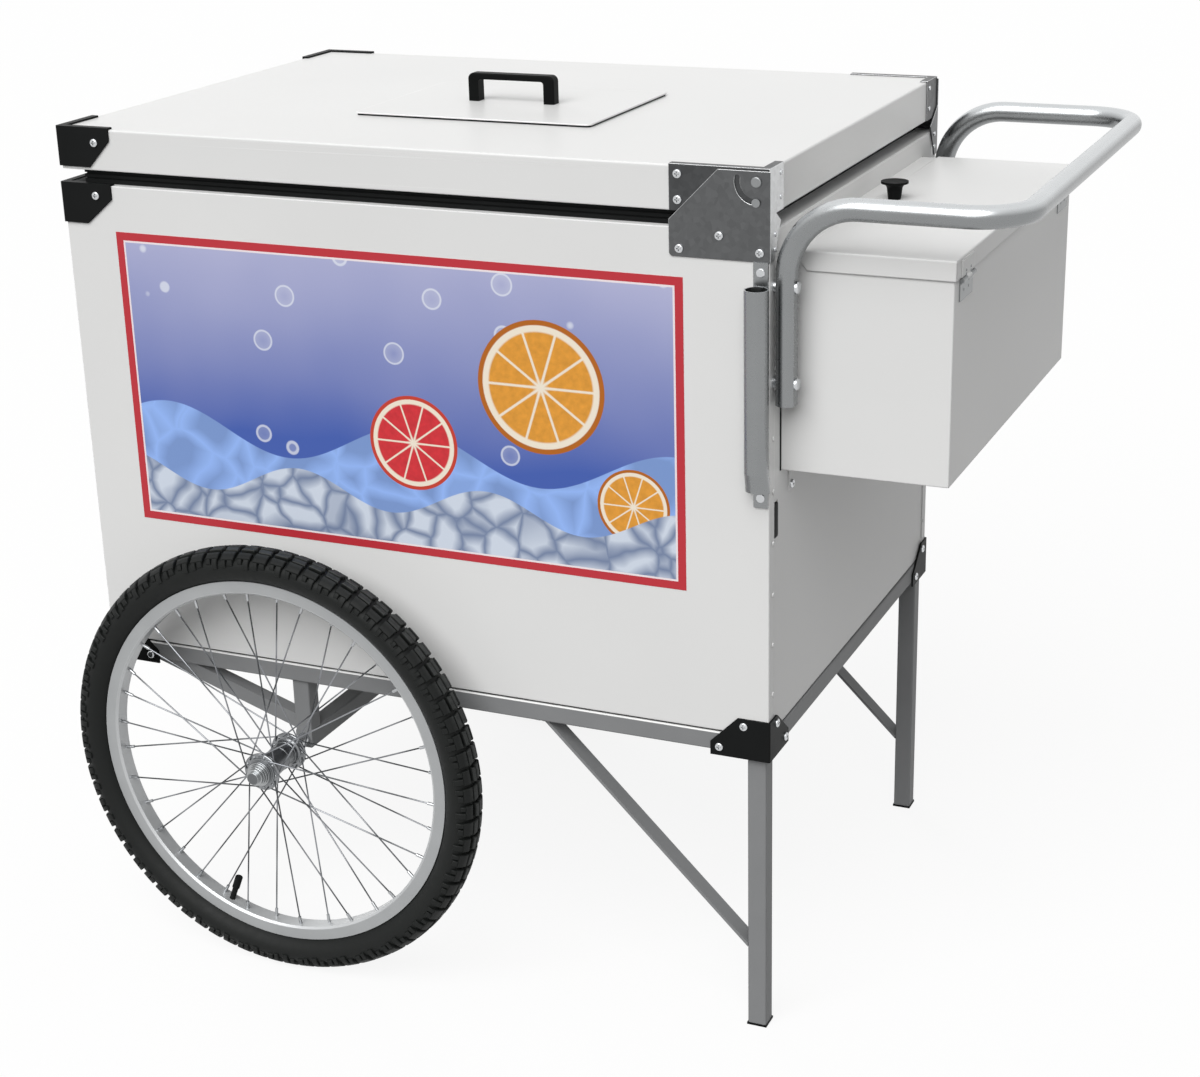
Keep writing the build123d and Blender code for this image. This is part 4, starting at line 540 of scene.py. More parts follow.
def slice_layer(add, under, flat, centre_mm, radius_mm, rind, flesh, pith):
    """A round fruit slice: rind, pith and wedges of flesh with thin pale walls between them."""
    wedges = 10
    centre = (centre_mm[0] * MM, 0, centre_mm[1] * MM)
    arm = add("VectorMath", (flat, centre), operation="SUBTRACT")
    away = add("VectorMath", (arm,), operation="LENGTH")
    share = add("Math", (away, radius_mm * MM), operation="DIVIDE")
    parts = add("SeparateXYZ", {"Vector": arm}).outputs
    angle = add("Math", (parts["Z"], parts["X"]), operation="ARCTAN2")
    turned = add("Math", (angle, wedges / 2), operation="MULTIPLY")
    swing = add("Math", (turned,), operation="SINE")
    gap = add("Math", (swing,), operation="ABSOLUTE")
    wide = add("Math", (gap, share), operation="MULTIPLY")
    wall = add("MapRange", (wide, 0.05, 0.13))
    edge = add("MapRange", (share, 0.84, 0.81))
    juicy = add("Math", (wall, edge), operation="MULTIPLY")
    drops = cloudy(add, flat, 9, 3.0, flesh, 0.75, 1.3)[1]
    face = add("Mix", {0: juicy, 6: shade(pith), 7: drops}, data_type="RGBA")
    peel = add("MapRange", (share, 0.915, 0.93))
    whole = add("Mix", {0: peel, 6: face, 7: shade(rind)}, data_type="RGBA")
    disc = add("MapRange", (share, 1.005, 0.995))
    return add("Mix", {0: disc, 6: under, 7: whole}, data_type="RGBA")


def border_layer(add, under, across, up, width, height, band, rgb):
    """A plain band along all four edges of the sheet."""
    far = add("Math", (width, across), operation="SUBTRACT")
    high = add("Math", (height, up), operation="SUBTRACT")
    level = add("Math", (across, far), operation="MINIMUM")
    upright = add("Math", (up, high), operation="MINIMUM")
    edge = add("Math", (level, upright), operation="MINIMUM")
    inked = add("Math", (edge, band), operation="LESS_THAN")
    return add("Mix", {0: inked, 6: under, 7: shade(rgb)}, data_type="RGBA")


def printed_film(art, sizes, low, high):
    # Printed vinyl film under a clear laminate: flat process inks with a soft even gloss and a faint orange peel.
    material, add, shader, place = start("Printed vinyl film", Roughness=0.34, IOR=1.5, Specular_IOR_Level=0.3)
    width = high.x - low.x
    height = high.z - low.z
    sheet = add("VectorMath", (place, low), operation="SUBTRACT")
    flat = add("VectorMath", (sheet, (1, 0, 1)), operation="MULTIPLY")
    parts = add("SeparateXYZ", {"Vector": flat}).outputs
    across = parts["X"]
    up = parts["Z"]
    haze = add("TexNoise", {"Vector": flat, "Scale": per_metre(240), "Detail": 2.0})
    soft = add("Math", (haze, 0.3 * height, up), operation="MULTIPLY_ADD")
    rise = add("MapRange", (soft, 0.5 * height, 1.15 * height))
    ink = add("Mix", {0: rise, 6: shade(art.sky_low), 7: shade(art.sky_top)}, data_type="RGBA")
    ink = bubble_layer(add, ink, flat, sizes.bubble, art.bubble)
    swell = rippled(add, flat, sizes.ripple * BACK_RIPPLE, art.wave_back, shade(art.wave_back, 1.6))
    ink = add("Mix", {0: wave_mask(add, across, up, *BACK_WAVE), 6: ink, 7: swell}, data_type="RGBA")
    for centre_mm, radius_mm, kind in SLICES:
        rind = getattr(art, "rind_" + kind)
        flesh = getattr(art, "flesh_" + kind)
        ink = slice_layer(add, ink, flat, centre_mm, radius_mm, rind, flesh, art.pith)
    water = rippled(add, flat, sizes.ripple, art.wave_front, art.ripple)
    ink = add("Mix", {0: wave_mask(add, across, up, *FRONT_WAVE), 6: ink, 7: water}, data_type="RGBA")
    ink = border_layer(add, ink, across, up, width, height, sizes.border + sizes.line, art.line)
    ink = border_layer(add, ink, across, up, width, height, sizes.border, art.border)
    bump = grained(add, place, 3, 2.0, 0.05, 0.1)[1]
    fill(shader, {"Base Color": ink, "Normal": bump})
    return material


# Mesh helpers
def new_piece(name, bm, body, material):
    """Makes a mesh object from a filled bmesh and lets it ride on a body."""
    bmesh.ops.recalc_face_normals(bm, faces=bm.faces)
    mesh = bpy.data.meshes.new(name)
    bm.normal_update()
    bm.to_mesh(mesh)
    bm.free()
    mesh.polygons.foreach_set("use_smooth", [True] * len(mesh.polygons))
    mesh.set_sharp_from_angle(angle=math.radians(35))
    mesh.materials.append(material)
    piece = bpy.data.objects.new(name, mesh)
    bpy.context.scene.collection.objects.link(piece)
    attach(piece, body)
    return piece


def join_loops(bm, below, above):
    """Faces between two closed loops with as many points."""
    count = len(below)
    for i in range(count):
        k = (i + 1) % count
        bm.faces.new((below[i], below[k], above[k], above[i]))


def skin(bm, loops):
    """Faces between each loop and the next, and one over the first loop."""
    for below, above in zip(loops, loops[1:]):
        join_loops(bm, below, above)
    bm.faces.new(list(reversed(loops[0])))


def ring_mesh(bm, profile, centre, segments):
    """A closed ring round the y axis through the centre, from (radius, across) points."""
    loops = []
    for i in range(segments):
        turn = 2 * math.pi * i / segments
        loops.append([bm.verts.new(centre + Vector((r * math.cos(turn), y, r * math.sin(turn)))) for r, y in profile])
    for i in range(segments):
        join_loops(bm, loops[i], loops[(i + 1) % segments])


def domed(radius, height):
    """The (radius, height) points of a rivet head, from its foot to its tip."""
    rings = 3
    lifts = [math.pi / 2 * k / rings for k in range(rings)]
    return [(radius * math.cos(lift), height * math.sin(lift)) for lift in lifts] + [(0, height)]


def head(bm, base, outward, profile, segments):
    """A closed turned head on a face, from (radius, height) points that end at its tip."""
    turn = outward.to_track_quat("Z", "Y").to_matrix()
    angles = [2 * math.pi * i / segments for i in range(segments)]
    loops = []
    for radius, height in profile[:-1]:
        loops.append([bm.verts.new(base + turn @ Vector((radius * math.cos(angle), radius * math.sin(angle), height)))
                      for angle in angles])
    skin(bm, loops)
    tip = bm.verts.new(base + outward * profile[-1][1])
    for i in range(segments):
        bm.faces.new((loops[-1][i], loops[-1][(i + 1) % segments], tip))


def bead(bm, path, radius):
    """A closed round bead along points in a plane of constant x, with mitred corners."""
    sides = 8
    turns = [2 * math.pi * k / sides for k in range(sides)]
    loops = []
    last = len(path) - 1
    for i, point in enumerate(path):
        ahead = (path[min(i + 1, last)] - path[min(i, last - 1)]).normalized()
        behind = (path[max(i, 1)] - path[max(i - 1, 0)]).normalized()
        along = (ahead + behind).normalized()
        aside = along.cross(X_AXIS) / along.dot(ahead)
        loops.append([bm.verts.new(point + radius * (math.cos(t) * aside + math.sin(t) * X_AXIS)) for t in turns])
    skin(bm, loops)
    bm.faces.new(loops[-1])


def rounded_pad(bm, centre, axes, width, height, proud, corner, sunk):
    """A pad with rounded corners and a soft edge; its axes point out of the face, across it and up it."""
    out, across, up = axes
    steps = 5
    levels = ((-sunk, 0.0), (proud * 0.5, 0.0), (proud * 0.85, 0.15 * corner), (proud, 0.5 * corner))
    loops = []
    for lift, inset in levels:
        loop = []
        for quarter in range(4):
            aside = (width / 2 - corner) * (1 if quarter in (0, 3) else -1)
            above = (height / 2 - corner) * (1 if quarter in (0, 1) else -1)
            for k in range(steps):
                turn = math.pi / 2 * (quarter + k / (steps - 1))
                reach = corner - inset
                loop.append(bm.verts.new(centre + lift * out + (aside + reach * math.cos(turn)) * across
                                         + (above + reach * math.sin(turn)) * up))
        loops.append(loop)
    skin(bm, loops)
    bm.faces.new(loops[-1])


class TyreShape:
    """The section of a tyre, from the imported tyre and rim."""

    def __init__(self, side, sizes):
        low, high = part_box(side + "_tyre")
        rim_low, rim_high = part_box(side + "_rim")
        self.centre = (low + high) / 2
        self.outer = (high.x - low.x) / 2
        self.rim = (rim_high.x - rim_low.x) / 2
        self.seat = (rim_high.y - rim_low.y) / 2 - RIM_WALL * MM
        self.widest = (self.outer + self.rim) / 2
        self.crown = self.outer - sizes.block - self.widest
        self.root = self.widest - self.rim + WALL_TUCK * MM
        self.half = (high.y - low.y) / 2 - sizes.lug

    def section(self, turn, out):
        """The (radius, across) point at an angle from the crown, moved out of the surface."""
        rise = self.crown if abs(turn) <= math.pi / 2 else self.root
        r = self.widest + rise * math.cos(turn)
        y = self.half * math.sin(turn)
        normal = Vector((math.cos(turn) / rise, math.sin(turn) / self.half)).normalized()
        return r + normal.x * out, y + normal.y * out

    def point(self, angle, turn, out):
        """The place of a point of the section at an angle round the axle."""
        r, y = self.section(turn, out)
        return self.centre + Vector((r * math.cos(angle), y, r * math.sin(angle)))

    def carcass(self, bm, wall):
        """The closed wall of the tyre, from bead to bead."""
        reach = math.pi - math.asin(self.seat / self.half)
        steps = 30
        turns = [reach * (2 * i / steps - 1) for i in range(steps + 1)]
        bead_foot = self.rim - BEAD_DEPTH * MM
        outside = [self.section(turn, 0) for turn in turns]
        inside = [self.section(turn, -wall) for turn in reversed(turns)]
        foot = self.seat - wall
        profile = [(bead_foot, -self.seat)] + outside + [(bead_foot, self.seat), (bead_foot, foot)]
        profile += [(r, max(-foot, min(foot, y)) if r < self.rim else y) for r, y in inside] + [(bead_foot, -foot)]
        ring_mesh(bm, profile, self.centre, TYRE_SEGMENTS)

    def block(self, bm, angles, turns, heights, skew):
        """One tread block over a patch of the section, sunk a little into the surface and chamfered on top."""
        along = 2
        over = 4
        mid_angle = (angles[0] + angles[1]) / 2
        mid_turn = (turns[0] + turns[1]) / 2
        grids = []
        for level, inset in enumerate(BLOCK_INSETS):
            half_angle = (angles[1] - angles[0]) / 2 - inset * MM / self.outer
            half_turn = (turns[1] - turns[0]) / 2
            half_turn -= math.copysign(inset * MM / self.half, half_turn)
            grid = []
            for i in range(along + 1):
                row = []
                for k in range(over + 1):
                    u = 2 * i / along - 1
                    v = 2 * k / over - 1
                    height = heights[0] + (heights[1] - heights[0]) * k / over
                    out = (-BLOCK_SUNK * MM, height - BLOCK_CHAMFER * MM, height)[level]
                    angle = mid_angle + half_angle * u + skew * v
                    row.append(bm.verts.new(self.point(angle, mid_turn + half_turn * v, out)))
                grid.append(row)
            grids.append(grid)
        low, middle, top = grids
        for i in range(along):
            for k in range(over):
                bm.faces.new((top[i][k], top[i + 1][k], top[i + 1][k + 1], top[i][k + 1]))
                bm.faces.new((low[i][k], low[i][k + 1], low[i + 1][k + 1], low[i + 1][k]))
        rim = [(i, 0) for i in range(along)] + [(along, k) for k in range(over)]
        rim += [(along - i, over) for i in range(along)] + [(0, over - k) for k in range(over)]
        for below, above in ((low, middle), (middle, top)):
            join_loops(bm, [below[a][b] for a, b in rim], [above[a][b] for a, b in rim])


def tread(shape, bm, sizes):
    """Half blocks over the crown, long and short shoulder blocks, and two tapering lugs under each."""
    pitch = 2 * math.pi / sizes.pitches
    tall = sizes.block
    for i in range(sizes.pitches):
        odd = i % 2
        lean = (CROWN_LEAN if odd else -CROWN_LEAN) * pitch
        # Degrees from the crown at which the blocks and lugs start and end
        crown = (1, 17) if odd else (3, 22)
        shoulder = (27, 52) if odd else (24, 58)
        lug_top = shoulder[1] - 2
        first_foot, second_foot = (90, 70) if odd else (78, 86)
        for side in (-1, 1):
            lag = CROWN_LAG if side > 0 else 0
            rows = (((lag, lag + CROWN_SPAN), crown, (tall, tall), lean),
                    (SHOULDER_SPAN, shoulder, (0.97 * tall, 0.85 * tall), 0),
                    (FIRST_LUG_SPAN, (lug_top, first_foot), (0.8 * tall, sizes.lug), 0),
                    (SECOND_LUG_SPAN, (lug_top, second_foot), (0.75 * tall, sizes.lug), 0))
            for span, degrees, heights, skew in rows:
                angles = [(i + share) * pitch for share in span]
                turns = [side * math.radians(degree) for degree in degrees]
                shape.block(bm, angles, turns, heights, skew)


def hub_profile():
    """The turned section of a hub as (radius, across) points in metres: stepped ends, flanges and a grooved barrel."""
    end = [(BEARING_POCKET, HUB_END), (16.2, HUB_END), (17, 41.2), (17, 39.5), (18.2, 39.3), (18.4, 39),
           (18.4, 37.5), (19.8, 37.3), (20, 37), (20, FLANGE_OUTER), (25.2, FLANGE_OUTER), (FLANGE_RADIUS, 35.2),
           (FLANGE_RADIUS, 32.8), (25.2, FLANGE_INNER), (19, 31.2), (17.2, 29)]
    groove = [(17, 24.5), (16.2, 23.8), (16.2, 21.4), (17, 20.7), (17, 8), (16.4, 7.2)]
    half = end + groove
    bore = [(HUB_BORE, BEARING_SEAT), (BEARING_POCKET, BEARING_SEAT)]
    path = half + [(r, -y) for r, y in reversed(half)] + [(r, -y) for r, y in reversed(bore)] + bore
    return [(r * MM, y * MM) for r, y in path]


def axle_cap_profile(end_radius):
    """The cone and locknuts on an axle as (radius, height) points: rings with grooves, then the axle's end."""
    points = []
    foot = 0.0
    for radius in CAP_RINGS:
        top = foot + CAP_RING_WIDTH
        groove = radius - CAP_GROOVE_DEPTH
        points += [(radius - CAP_CHAMFER, foot), (radius, foot + CAP_CHAMFER), (radius, top - CAP_CHAMFER),
                   (radius - CAP_CHAMFER, top), (groove, top + CAP_GROOVE_SLOPE)]
        foot = top + CAP_GROOVE_WIDTH
        points.append((groove, foot - CAP_GROOVE_SLOPE))
    end = end_radius / MM
    tip = AXLE_TIP - CONE_FACE
    points += [(end, foot), (end, tip - CAP_CHAMFER), (end - CAP_CHAMFER, tip), (0, tip)]
    return [(radius * MM, height * MM) for radius, height in points]


# Operators
class CartOperator:
    bl_options = {"REGISTER", "UNDO"}


class CART_OT_white_panels(CartOperator, bpy.types.Operator):
    """Paint the sheets of the box, lid, hatch and side box"""
    bl_idname = "cart.white_panels"
    bl_label = "White panels"

    def execute(self, context):
        paint = coil_coated_steel(context.scene.cart_colours)
        cover(paint, "left_side_panel", "right_side_panel", "nose_panel", "handle_end_panel", "floor_panel", "top_rim",
              "side_box", "lid_shell", "hatch_cover", "side_box_lid", "panel_rivets", "side_lid_hinge_leaves")
        return {"FINISHED"}


class CART_OT_frame_tubes(CartOperator, bpy.types.Operator):
    """Lacquer the square tubes of the frame, the legs and the axle"""
    bl_idname = "cart.frame_tubes"
    bl_label = "Frame tubes"

    def execute(self, context):
        tints = context.scene.cart_colours
        cover(painted_tube("Lacquered tube with a bare edge", tints, tints.rail_edge_highlight), "side_rails")
        cover(painted_tube("Silver lacquered tube", tints, tints.frame_tube), "end_rails", "floor_bars", "legs",
              "leg_braces", "axle_beam", "axle_posts", "axle_struts")
        return {"FINISHED"}


class CART_OT_round_tubes(CartOperator, bpy.types.Operator):
    """Plate the push handle and the parasol holder"""
    bl_idname = "cart.round_tubes"
    bl_label = "Handle and parasol holder"

    def execute(self, context):
        tints = context.scene.cart_colours
        zinc = zinc_plated("Bright zinc round tube", tints.handle, roughness=0.28, cloud_mm=50, grain_mm=6,
                           contrast=0.06, hollow_mm=0.6, painted_top_highlight=2.4)
        cover(zinc, "push_handle", "parasol_holder")
        return {"FINISHED"}


class CART_OT_hinge_plates(CartOperator, bpy.types.Operator):
    """Galvanise the hinge plates of the lid"""
    bl_idname = "cart.hinge_plates"
    bl_label = "Hinge plates"

    def execute(self, context):
        tints = context.scene.cart_colours
        cover(galvanised_plate("Galvanised hinge plate", tints.plate_face, tints.plate_edge_highlight), "hinge_body_plates")
        cover(galvanised_plate("Galvanised lid plate", tints.lid_plate_shaded_face, tints.plate_edge_highlight), "hinge_lid_plates")
        return {"FINISHED"}


class CART_OT_hardware(CartOperator, bpy.types.Operator):
    """Plate the screws, bolts, nuts, pins and small hinges"""
    bl_idname = "cart.hardware"
    bl_label = "Screws and small hinges"

    def execute(self, context):
        tints = context.scene.cart_colours
        cover(zinc_plated("Bright zinc hardware", tints.hardware, roughness=0.24), "wheel_axles", "axle_nuts",
              "body_screws", "lid_screws", "handle_fixings", "left_bearings", "right_bearings")
        cover(zinc_plated("Dull zinc pins", tints.dull_pin, roughness=0.4), "hinge_pivots", "slot_pins",
              "side_box_hinge_leaves", "side_box_hinge_pins")
        return {"FINISHED"}


class CART_OT_black_brackets(CartOperator, bpy.types.Operator):
    """Coat the corner brackets black"""
    bl_idname = "cart.black_brackets"
    bl_label = "Black brackets"

    def execute(self, context):
        tints = context.scene.cart_colours
        coat = moulded_black("Black powder coat", tints.bracket, roughness=0.42, grain_mm=1.2, depth_mm=0.15,
                             radius_mm=1.2)
        cover(coat, "bottom_brackets", "body_corner_brackets", "lid_corner_brackets")
        return {"FINISHED"}


class CART_OT_black_fittings(CartOperator, bpy.types.Operator):
    """Mould the hatch handle, knob, foot caps, drain and seals in black"""
    bl_idname = "cart.black_fittings"
    bl_label = "Black fittings"

    def execute(self, context):
        tints = context.scene.cart_colours
        plastic = moulded_black("Moulded black polypropylene", tints.plastic, roughness=0.4, grain_mm=0.9,
                                radius_mm=1.5)
        cover(plastic, "foot_caps", "hatch_handle", "side_lid_knob", "drain_pipe")
        rubber = moulded_black("Black seal rubber", tints.rubber, roughness=0.6)
        cover(rubber, "lid_gasket", "hatch_seal", "left_inner_tube", "right_inner_tube")
        return {"FINISHED"}


class CART_OT_tyres(CartOperator, bpy.types.Operator):
    """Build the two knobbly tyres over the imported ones"""
    bl_idname = "cart.tyres"
    bl_label = "Tyres"

    def execute(self, context):
        sizes = context.scene.cart_wheels
        for side in WHEELS:
            shape = TyreShape(side, sizes)
            rubber = tyre_rubber(context.scene.cart_colours, shape.centre, shape.outer)
            bm = bmesh.new()
            shape.carcass(bm, sizes.wall)
            tread(shape, bm, sizes)
            piece = new_piece(side + "_knobbly_tyre", bm, side + "_wheel", rubber)
            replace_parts(piece, side + "_tyre")
        return {"FINISHED"}


class CART_OT_wheels(CartOperator, bpy.types.Operator):
    """Polish the rims and spokes, and turn the hubs with their spoke heads and axle caps"""
    bl_idname = "cart.wheels"
    bl_label = "Rims, spokes and hubs"

    def execute(self, context):
        tints = context.scene.cart_colours
        sizes = context.scene.cart_wheels
        caps = bmesh.new()
        for side in WHEELS:
            low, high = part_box(side + "_rim")
            centre = (low + high) / 2
            outward = -1 if side == "left" else 1
            # The rims' faces nearer to the axle than the step take the lighter well tint, a painted highlight
            rim = turned_metal("Extruded aluminium rim", tints.rim, tints.rim_well_highlight, RIM_STEP * MM, centre,
                               roughness=0.36, metallic=0.4, line_mm=1.5)
            cover(rim, side + "_rim")
            cover(drawn_spoke(tints, centre, NIPPLE_START * MM), side + "_spokes")
            steel = turned_metal("Turned hub steel", tints.hub, tints.hub_barrel, HUB_STEP * MM, centre, roughness=0.3)
            bm = bmesh.new()
            ring_mesh(bm, hub_profile(), centre, HUB_SEGMENTS)
            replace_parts(new_piece(side + "_turned_hub", bm, side + "_wheel", steel), side + "_hub")
            heads = bmesh.new()
            self.spoke_heads(heads, centre, outward, sizes.head)
            new_piece(side + "_spoke_heads", heads, side + "_wheel", steel)
            foot = centre + outward * CONE_FACE * MM * Y_AXIS
            head(caps, foot, outward * Y_AXIS, axle_cap_profile(sizes.cap), CAP_SEGMENTS)
        # Both axles lie on one line, so the lines of the caps can run round either wheel's middle
        sawn = sizes.cap - 2 * CAP_CHAMFER * MM
        plated = turned_metal("Turned zinc nuts", tints.rim, tints.axle_end, sawn, centre, roughness=0.26)
        new_piece("axle_end_caps", caps, "cart", plated)
        return {"FINISHED"}

    def spoke_heads(self, bm, centre, outward, radius):
        """The heads of the spokes that run on the other face of each flange."""
        step = 2 * math.pi / SPOKES_PER_FLANGE
        for flange in (-1, 1):
            for i in range(SPOKES_PER_FLANGE):
                turn = step * (i + flange / 4)
                on_outer_face = (i % 2 == 0) == (flange < 0)
                face = (FLANGE_OUTER if on_outer_face else FLANGE_INNER) * MM
                away = flange if on_outer_face else -flange
                base = centre + Vector((SPOKE_CIRCLE * MM * math.cos(turn), -outward * flange * face,
                                        SPOKE_CIRCLE * MM * math.sin(turn)))
                head(bm, base, -outward * away * Y_AXIS, domed(radius, SPOKE_HEAD_RISE * MM), RIVET_SEGMENTS)


class CART_OT_box_trim(CartOperator, bpy.types.Operator):
    """Add black beads and pads as painted shade in the gaps round the side box and under the box, the slot's plug, the
    lid's buffers and the hinge rivets
    """
    bl_idname = "cart.box_trim"
    bl_label = "Sealant, plug, buffers and rivets"

    def execute(self, context):
        sizes = context.scene.cart_trim
        tints = context.scene.cart_colours
        black = moulded_black("Black sealant", tints.rubber, roughness=0.5)
        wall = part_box("handle_end_panel")[1].x
        box_low, box_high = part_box("side_box")
        under = next(m for m in frame["record"]["mounts"] if m["name"] == "side_box_underside")["pos_m"][2]
        corners = ((box_low.y, box_high.z), (box_low.y, under), (box_high.y, under), (box_high.y, box_high.z))
        bm = bmesh.new()
        # A black bead in the joint round the side box: painted shade for the gap there
        bead(bm, [Vector((wall, y, z)) for y, z in corners], sizes.bead)
        new_piece("box_sealant", bm, "cart", black)
        slot_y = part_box("left_side_panel")[0].y + SLOT_FROM_SIDE * MM
        slot_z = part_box("handle_end_panel")[1].z - SLOT_FROM_TOP * MM
        bm = bmesh.new()
        rounded_pad(bm, Vector((wall, slot_y, slot_z)), (X_AXIS, Y_AXIS, Z_AXIS), sizes.plug_width, sizes.plug_height,
                    sizes.plug_proud, PLUG_CORNER * MM, PLUG_SUNK * MM)
        new_piece("slot_plug", bm, "cart", black)
        self.lid_buffers(black)
        self.foot_sealant(black)
        self.hinge_rivets(tints, sizes)
        return {"FINISHED"}

    def lid_buffers(self, black):
        """Rubber pads on the rim inside the nose brackets, where the lid's corners come down."""
        low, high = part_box("body_corner_brackets")
        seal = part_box("lid_gasket")[0].x
        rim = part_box("top_rim")[1].z
        start_x = low.x + BUFFER_FROM_NOSE * MM
        width = seal - start_x - BUFFER_CLEARANCE * MM
        bm = bmesh.new()
        for edge, inward in ((low.y, 1), (high.y, -1)):
            middle = Vector(((start_x + seal) / 2, edge + inward * BUFFER_FROM_SIDE * MM, rim))
            rounded_pad(bm, middle, (Z_AXIS, X_AXIS, Y_AXIS), width, BUFFER_LENGTH * MM, BUFFER_PROUD * MM,
                        BUFFER_CORNER * MM, 0)
        new_piece("lid_buffers", bm, "cart", black)

    def foot_sealant(self, black):
        """Black pads in the gap between the rails and the panels above them, on all four sides: painted shade for the
        gap.
        """
        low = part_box("left_side_panel")[0]
        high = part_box("right_side_panel")[1]
        gap = SHADE_PAD_FILL * (low.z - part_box("side_rails")[1].z)
        middle = Vector(((low.x + high.x) / 2, (low.y + high.y) / 2, low.z - gap / 2))
        size = high - low
        bm = bmesh.new()
        for out, along, set_back, shorter in ((Y_AXIS, X_AXIS, 1.7, 2), (X_AXIS, Y_AXIS, 2.9, 3)):
            reach = size.dot(out) / 2 - set_back * MM
            for sign in (-1, 1):
                rounded_pad(bm, middle + sign * reach * out, (sign * out, along, Z_AXIS),
                            size.dot(along) - shorter * MM, gap, SHADE_PAD_PROUD * MM, SHADE_PAD_ROUNDING * gap,
                            SHADE_PAD_SUNK * MM)
        new_piece("foot_sealant", bm, "cart", black)

    def hinge_rivets(self, tints, sizes):
        """Rivets in both leaves of the side box hinges, above and below their pins."""
        steel = zinc_plated("Zinc hinge rivets", tints.dull_pin, roughness=0.35, hollow_mm=1.0)
        pin = sum(corner.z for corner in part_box("side_box_hinge_pins")) / 2
        groups = (("lid_hinge_rivets", "side_lid_hinge_leaves", "side_box_lid", "side_box_lid", LID_RIVET_LIFTS),
                  ("box_hinge_rivets", "side_box_hinge_leaves", "cart", "side_box", BOX_RIVET_LIFTS))
        for name, leaves, body, wall, lifts in groups:
            low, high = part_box(leaves)
            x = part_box(wall)[1].x + HINGE_SHEET * MM
            bm = bmesh.new()
            for start_y in (low.y, high.y - HINGE_LEAF * MM):
                for across in (-0.5, 0.5):
                    y = start_y + (HINGE_LEAF / 2 + across * RIVET_SPACING) * MM
                    for lift in lifts:
                        base = Vector((x, y, pin + lift * MM))
                        head(bm, base, X_AXIS, domed(sizes.rivet, RIVET_RISE * MM), RIVET_SEGMENTS)
            new_piece(name, bm, body, steel)


class CART_OT_inner_pieces(CartOperator, bpy.types.Operator):
    """Finish the liners and the foam inside the walls, lid and hatch"""
    bl_idname = "cart.inner_pieces"
    bl_label = "Liners and foam"

    def execute(self, context):
        tints = context.scene.cart_colours
        cover(brushed_liner(tints), "tank_liner", "lid_liner")
        cover(rigid_foam(tints), "body_insulation", "lid_insulation", "hatch_plug")
        return {"FINISHED"}


class CART_OT_picture(CartOperator, bpy.types.Operator):
    """Print the sheet on the side"""
    bl_idname = "cart.picture"
    bl_label = "Printed sheet"

    def execute(self, context):
        low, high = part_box("picture_sheet")
        cover(printed_film(context.scene.cart_print, context.scene.cart_print_sizes, low, high), "picture_sheet")
        return {"FINISHED"}


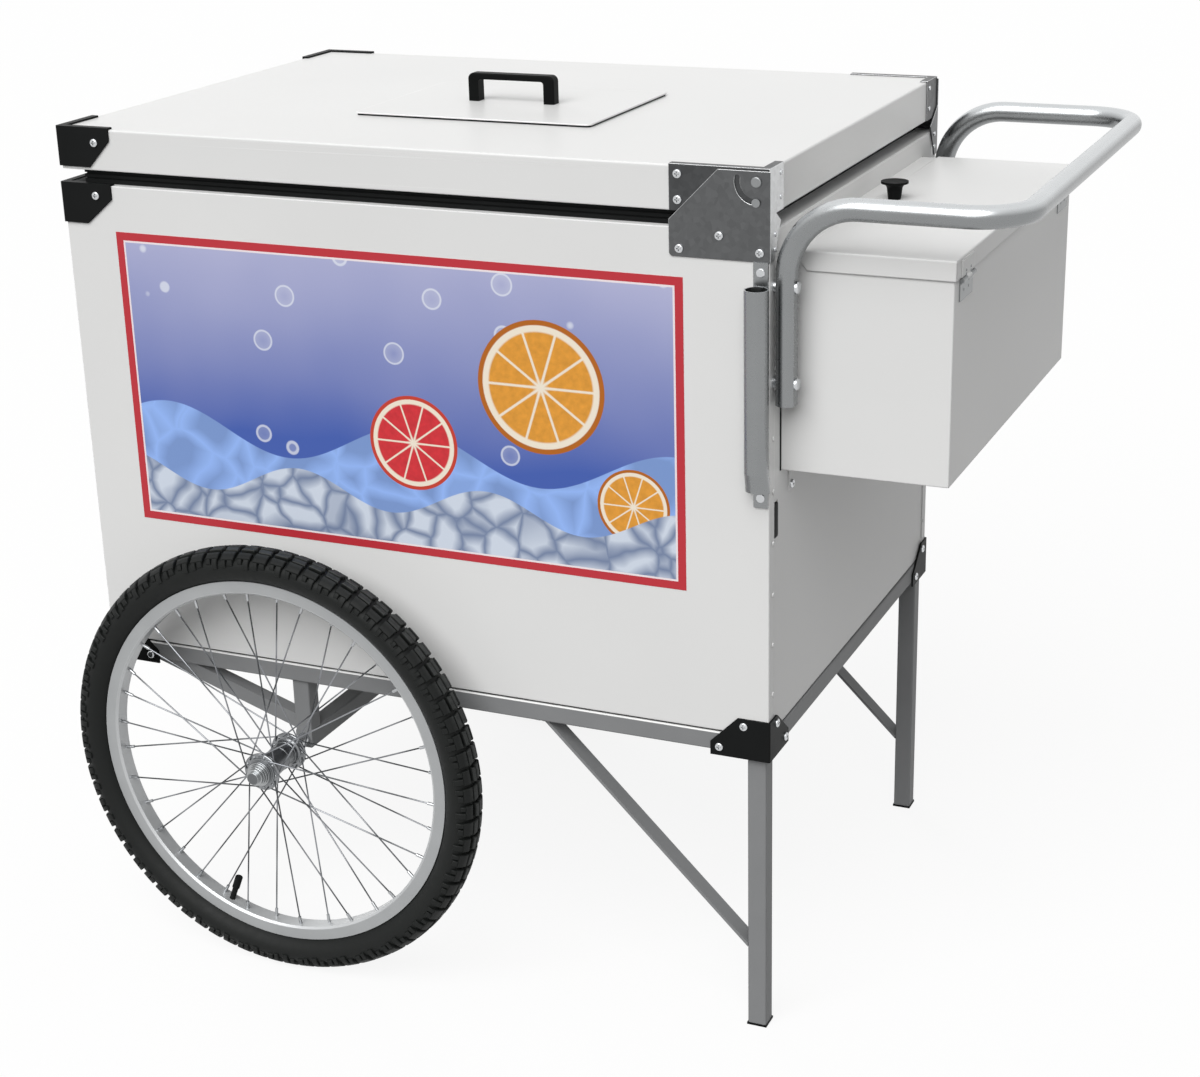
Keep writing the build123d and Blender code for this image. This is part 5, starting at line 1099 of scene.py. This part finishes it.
class CART_OT_stage(CartOperator, bpy.types.Operator):
    """Lay the floor, light the studio and place the camera"""
    bl_idname = "cart.stage"
    bl_label = "Studio"

    def execute(self, context):
        settings = context.scene.cart_stage
        self.floor(context, settings)
        self.light(context, settings)
        self.camera(context, settings)
        context.scene.view_settings.view_transform = "Standard"
        return {"FINISHED"}

    def seen(self, add):
        """One for rays that show the surface: from the camera, in a reflection or through glass."""
        path = add("LightPath").outputs
        some = add("Math", (path["Is Camera Ray"], path["Is Glossy Ray"]), operation="MAXIMUM")
        return add("Math", (some, path["Is Transmission Ray"]), operation="MAXIMUM")

    def floor(self, context, settings):
        bm = bmesh.new()
        bmesh.ops.create_circle(bm, cap_ends=True, cap_tris=False, segments=96, radius=60)
        mesh = bpy.data.meshes.new("studio_floor")
        bm.to_mesh(mesh)
        bm.free()
        # Matt studio floor: an even pale paint that shows the cart's soft shadow and lifts towards plain white
        material = bpy.data.materials.new("Matt studio floor")
        add = cleared(material)
        seen = self.seen(add)
        paint = add("Mix", {0: seen, 6: shade(settings.bounce), 7: shade(settings.floor)}, data_type="RGBA")
        matt = add("BsdfDiffuse", {"Color": paint})
        glow = add("Emission", {"Strength": 1.0})
        share = add("Math", (seen, settings.floor_lift), operation="MULTIPLY")
        mixed = add("MixShader", {0: share, 1: matt, 2: glow})
        add("OutputMaterial", {"Surface": mixed})
        mesh.materials.append(material)
        floor = bpy.data.objects.new("studio_floor", mesh)
        context.scene.collection.objects.link(floor)

    def light(self, context, settings):
        lamps = (("broad_key", settings.key, settings.key_angle, settings.key_from, True),
                 ("low_fill", settings.fill, settings.fill_angle, settings.fill_from, False))
        for name, strength, angle, direction, mirrored in lamps:
            lamp = bpy.data.lights.new(name, "SUN")
            lamp.energy = strength
            lamp.angle = angle
            light = bpy.data.objects.new(name, lamp)
            light.rotation_euler = Vector(direction).to_track_quat("Z", "Y").to_euler()
            light.visible_glossy = mirrored
            context.scene.collection.objects.link(light)
        world = bpy.data.worlds.new("White studio")
        add = cleared(world)
        strength = add("MapRange", (self.seen(add), 0, 1, settings.ambient, 1.0))
        sky = add("Background", {"Color": (1, 1, 1, 1), "Strength": strength})
        add("OutputWorld", {"Surface": sky})
        context.scene.world = world

    def camera(self, context, settings):
        forward = Vector((-math.sin(settings.yaw) * math.cos(settings.pitch),
                          math.cos(settings.yaw) * math.cos(settings.pitch), -math.sin(settings.pitch)))
        right = forward.cross(Z_AXIS).normalized()
        up = right.cross(forward)
        c = math.cos(settings.roll)
        s = math.sin(settings.roll)
        axes = Matrix((c * right + s * up, c * up - s * right, -forward)).transposed()
        data = bpy.data.cameras.new("photo_camera")
        data.sensor_width = 36
        data.lens = settings.focal
        data.shift_x, data.shift_y = settings.shift
        camera = bpy.data.objects.new("photo_camera", data)
        camera.matrix_world = Matrix.Translation(settings.eye) @ axes.to_4x4()
        context.scene.collection.objects.link(camera)
        context.scene.camera = camera


OPERATORS = (CART_OT_white_panels, CART_OT_frame_tubes, CART_OT_round_tubes, CART_OT_hinge_plates, CART_OT_hardware,
             CART_OT_black_brackets, CART_OT_black_fittings, CART_OT_tyres, CART_OT_wheels, CART_OT_box_trim,
             CART_OT_inner_pieces, CART_OT_picture, CART_OT_stage)


class VIEW3D_PT_beverage_cart(bpy.types.Panel):
    """Steps that dress the beverage cart"""
    bl_label = "Beverage cart"
    bl_space_type = "VIEW_3D"
    bl_region_type = "UI"
    bl_category = "Beverage cart"

    def draw(self, context):
        for operator in OPERATORS:
            self.layout.operator(operator.bl_idname)


GROUPS = {"cart_colours": CartColours, "cart_print": PrintColours, "cart_print_sizes": PrintSizes,
          "cart_wheels": WheelSizes, "cart_trim": TrimSizes, "cart_stage": StageSettings}


def register():
    for name, group in GROUPS.items():
        bpy.utils.register_class(group)
        setattr(bpy.types.Scene, name, PointerProperty(type=group))
    for operator in OPERATORS:
        bpy.utils.register_class(operator)
    bpy.utils.register_class(VIEW3D_PT_beverage_cart)


def unregister():
    bpy.utils.unregister_class(VIEW3D_PT_beverage_cart)
    for operator in reversed(OPERATORS):
        bpy.utils.unregister_class(operator)
    for name, group in GROUPS.items():
        delattr(bpy.types.Scene, name)
        bpy.utils.unregister_class(group)


def main():
    register()
    for operator in OPERATORS:
        area, step = operator.bl_idname.split(".")
        getattr(getattr(bpy.ops, area), step)()


if __name__ == "__main__":
    main()
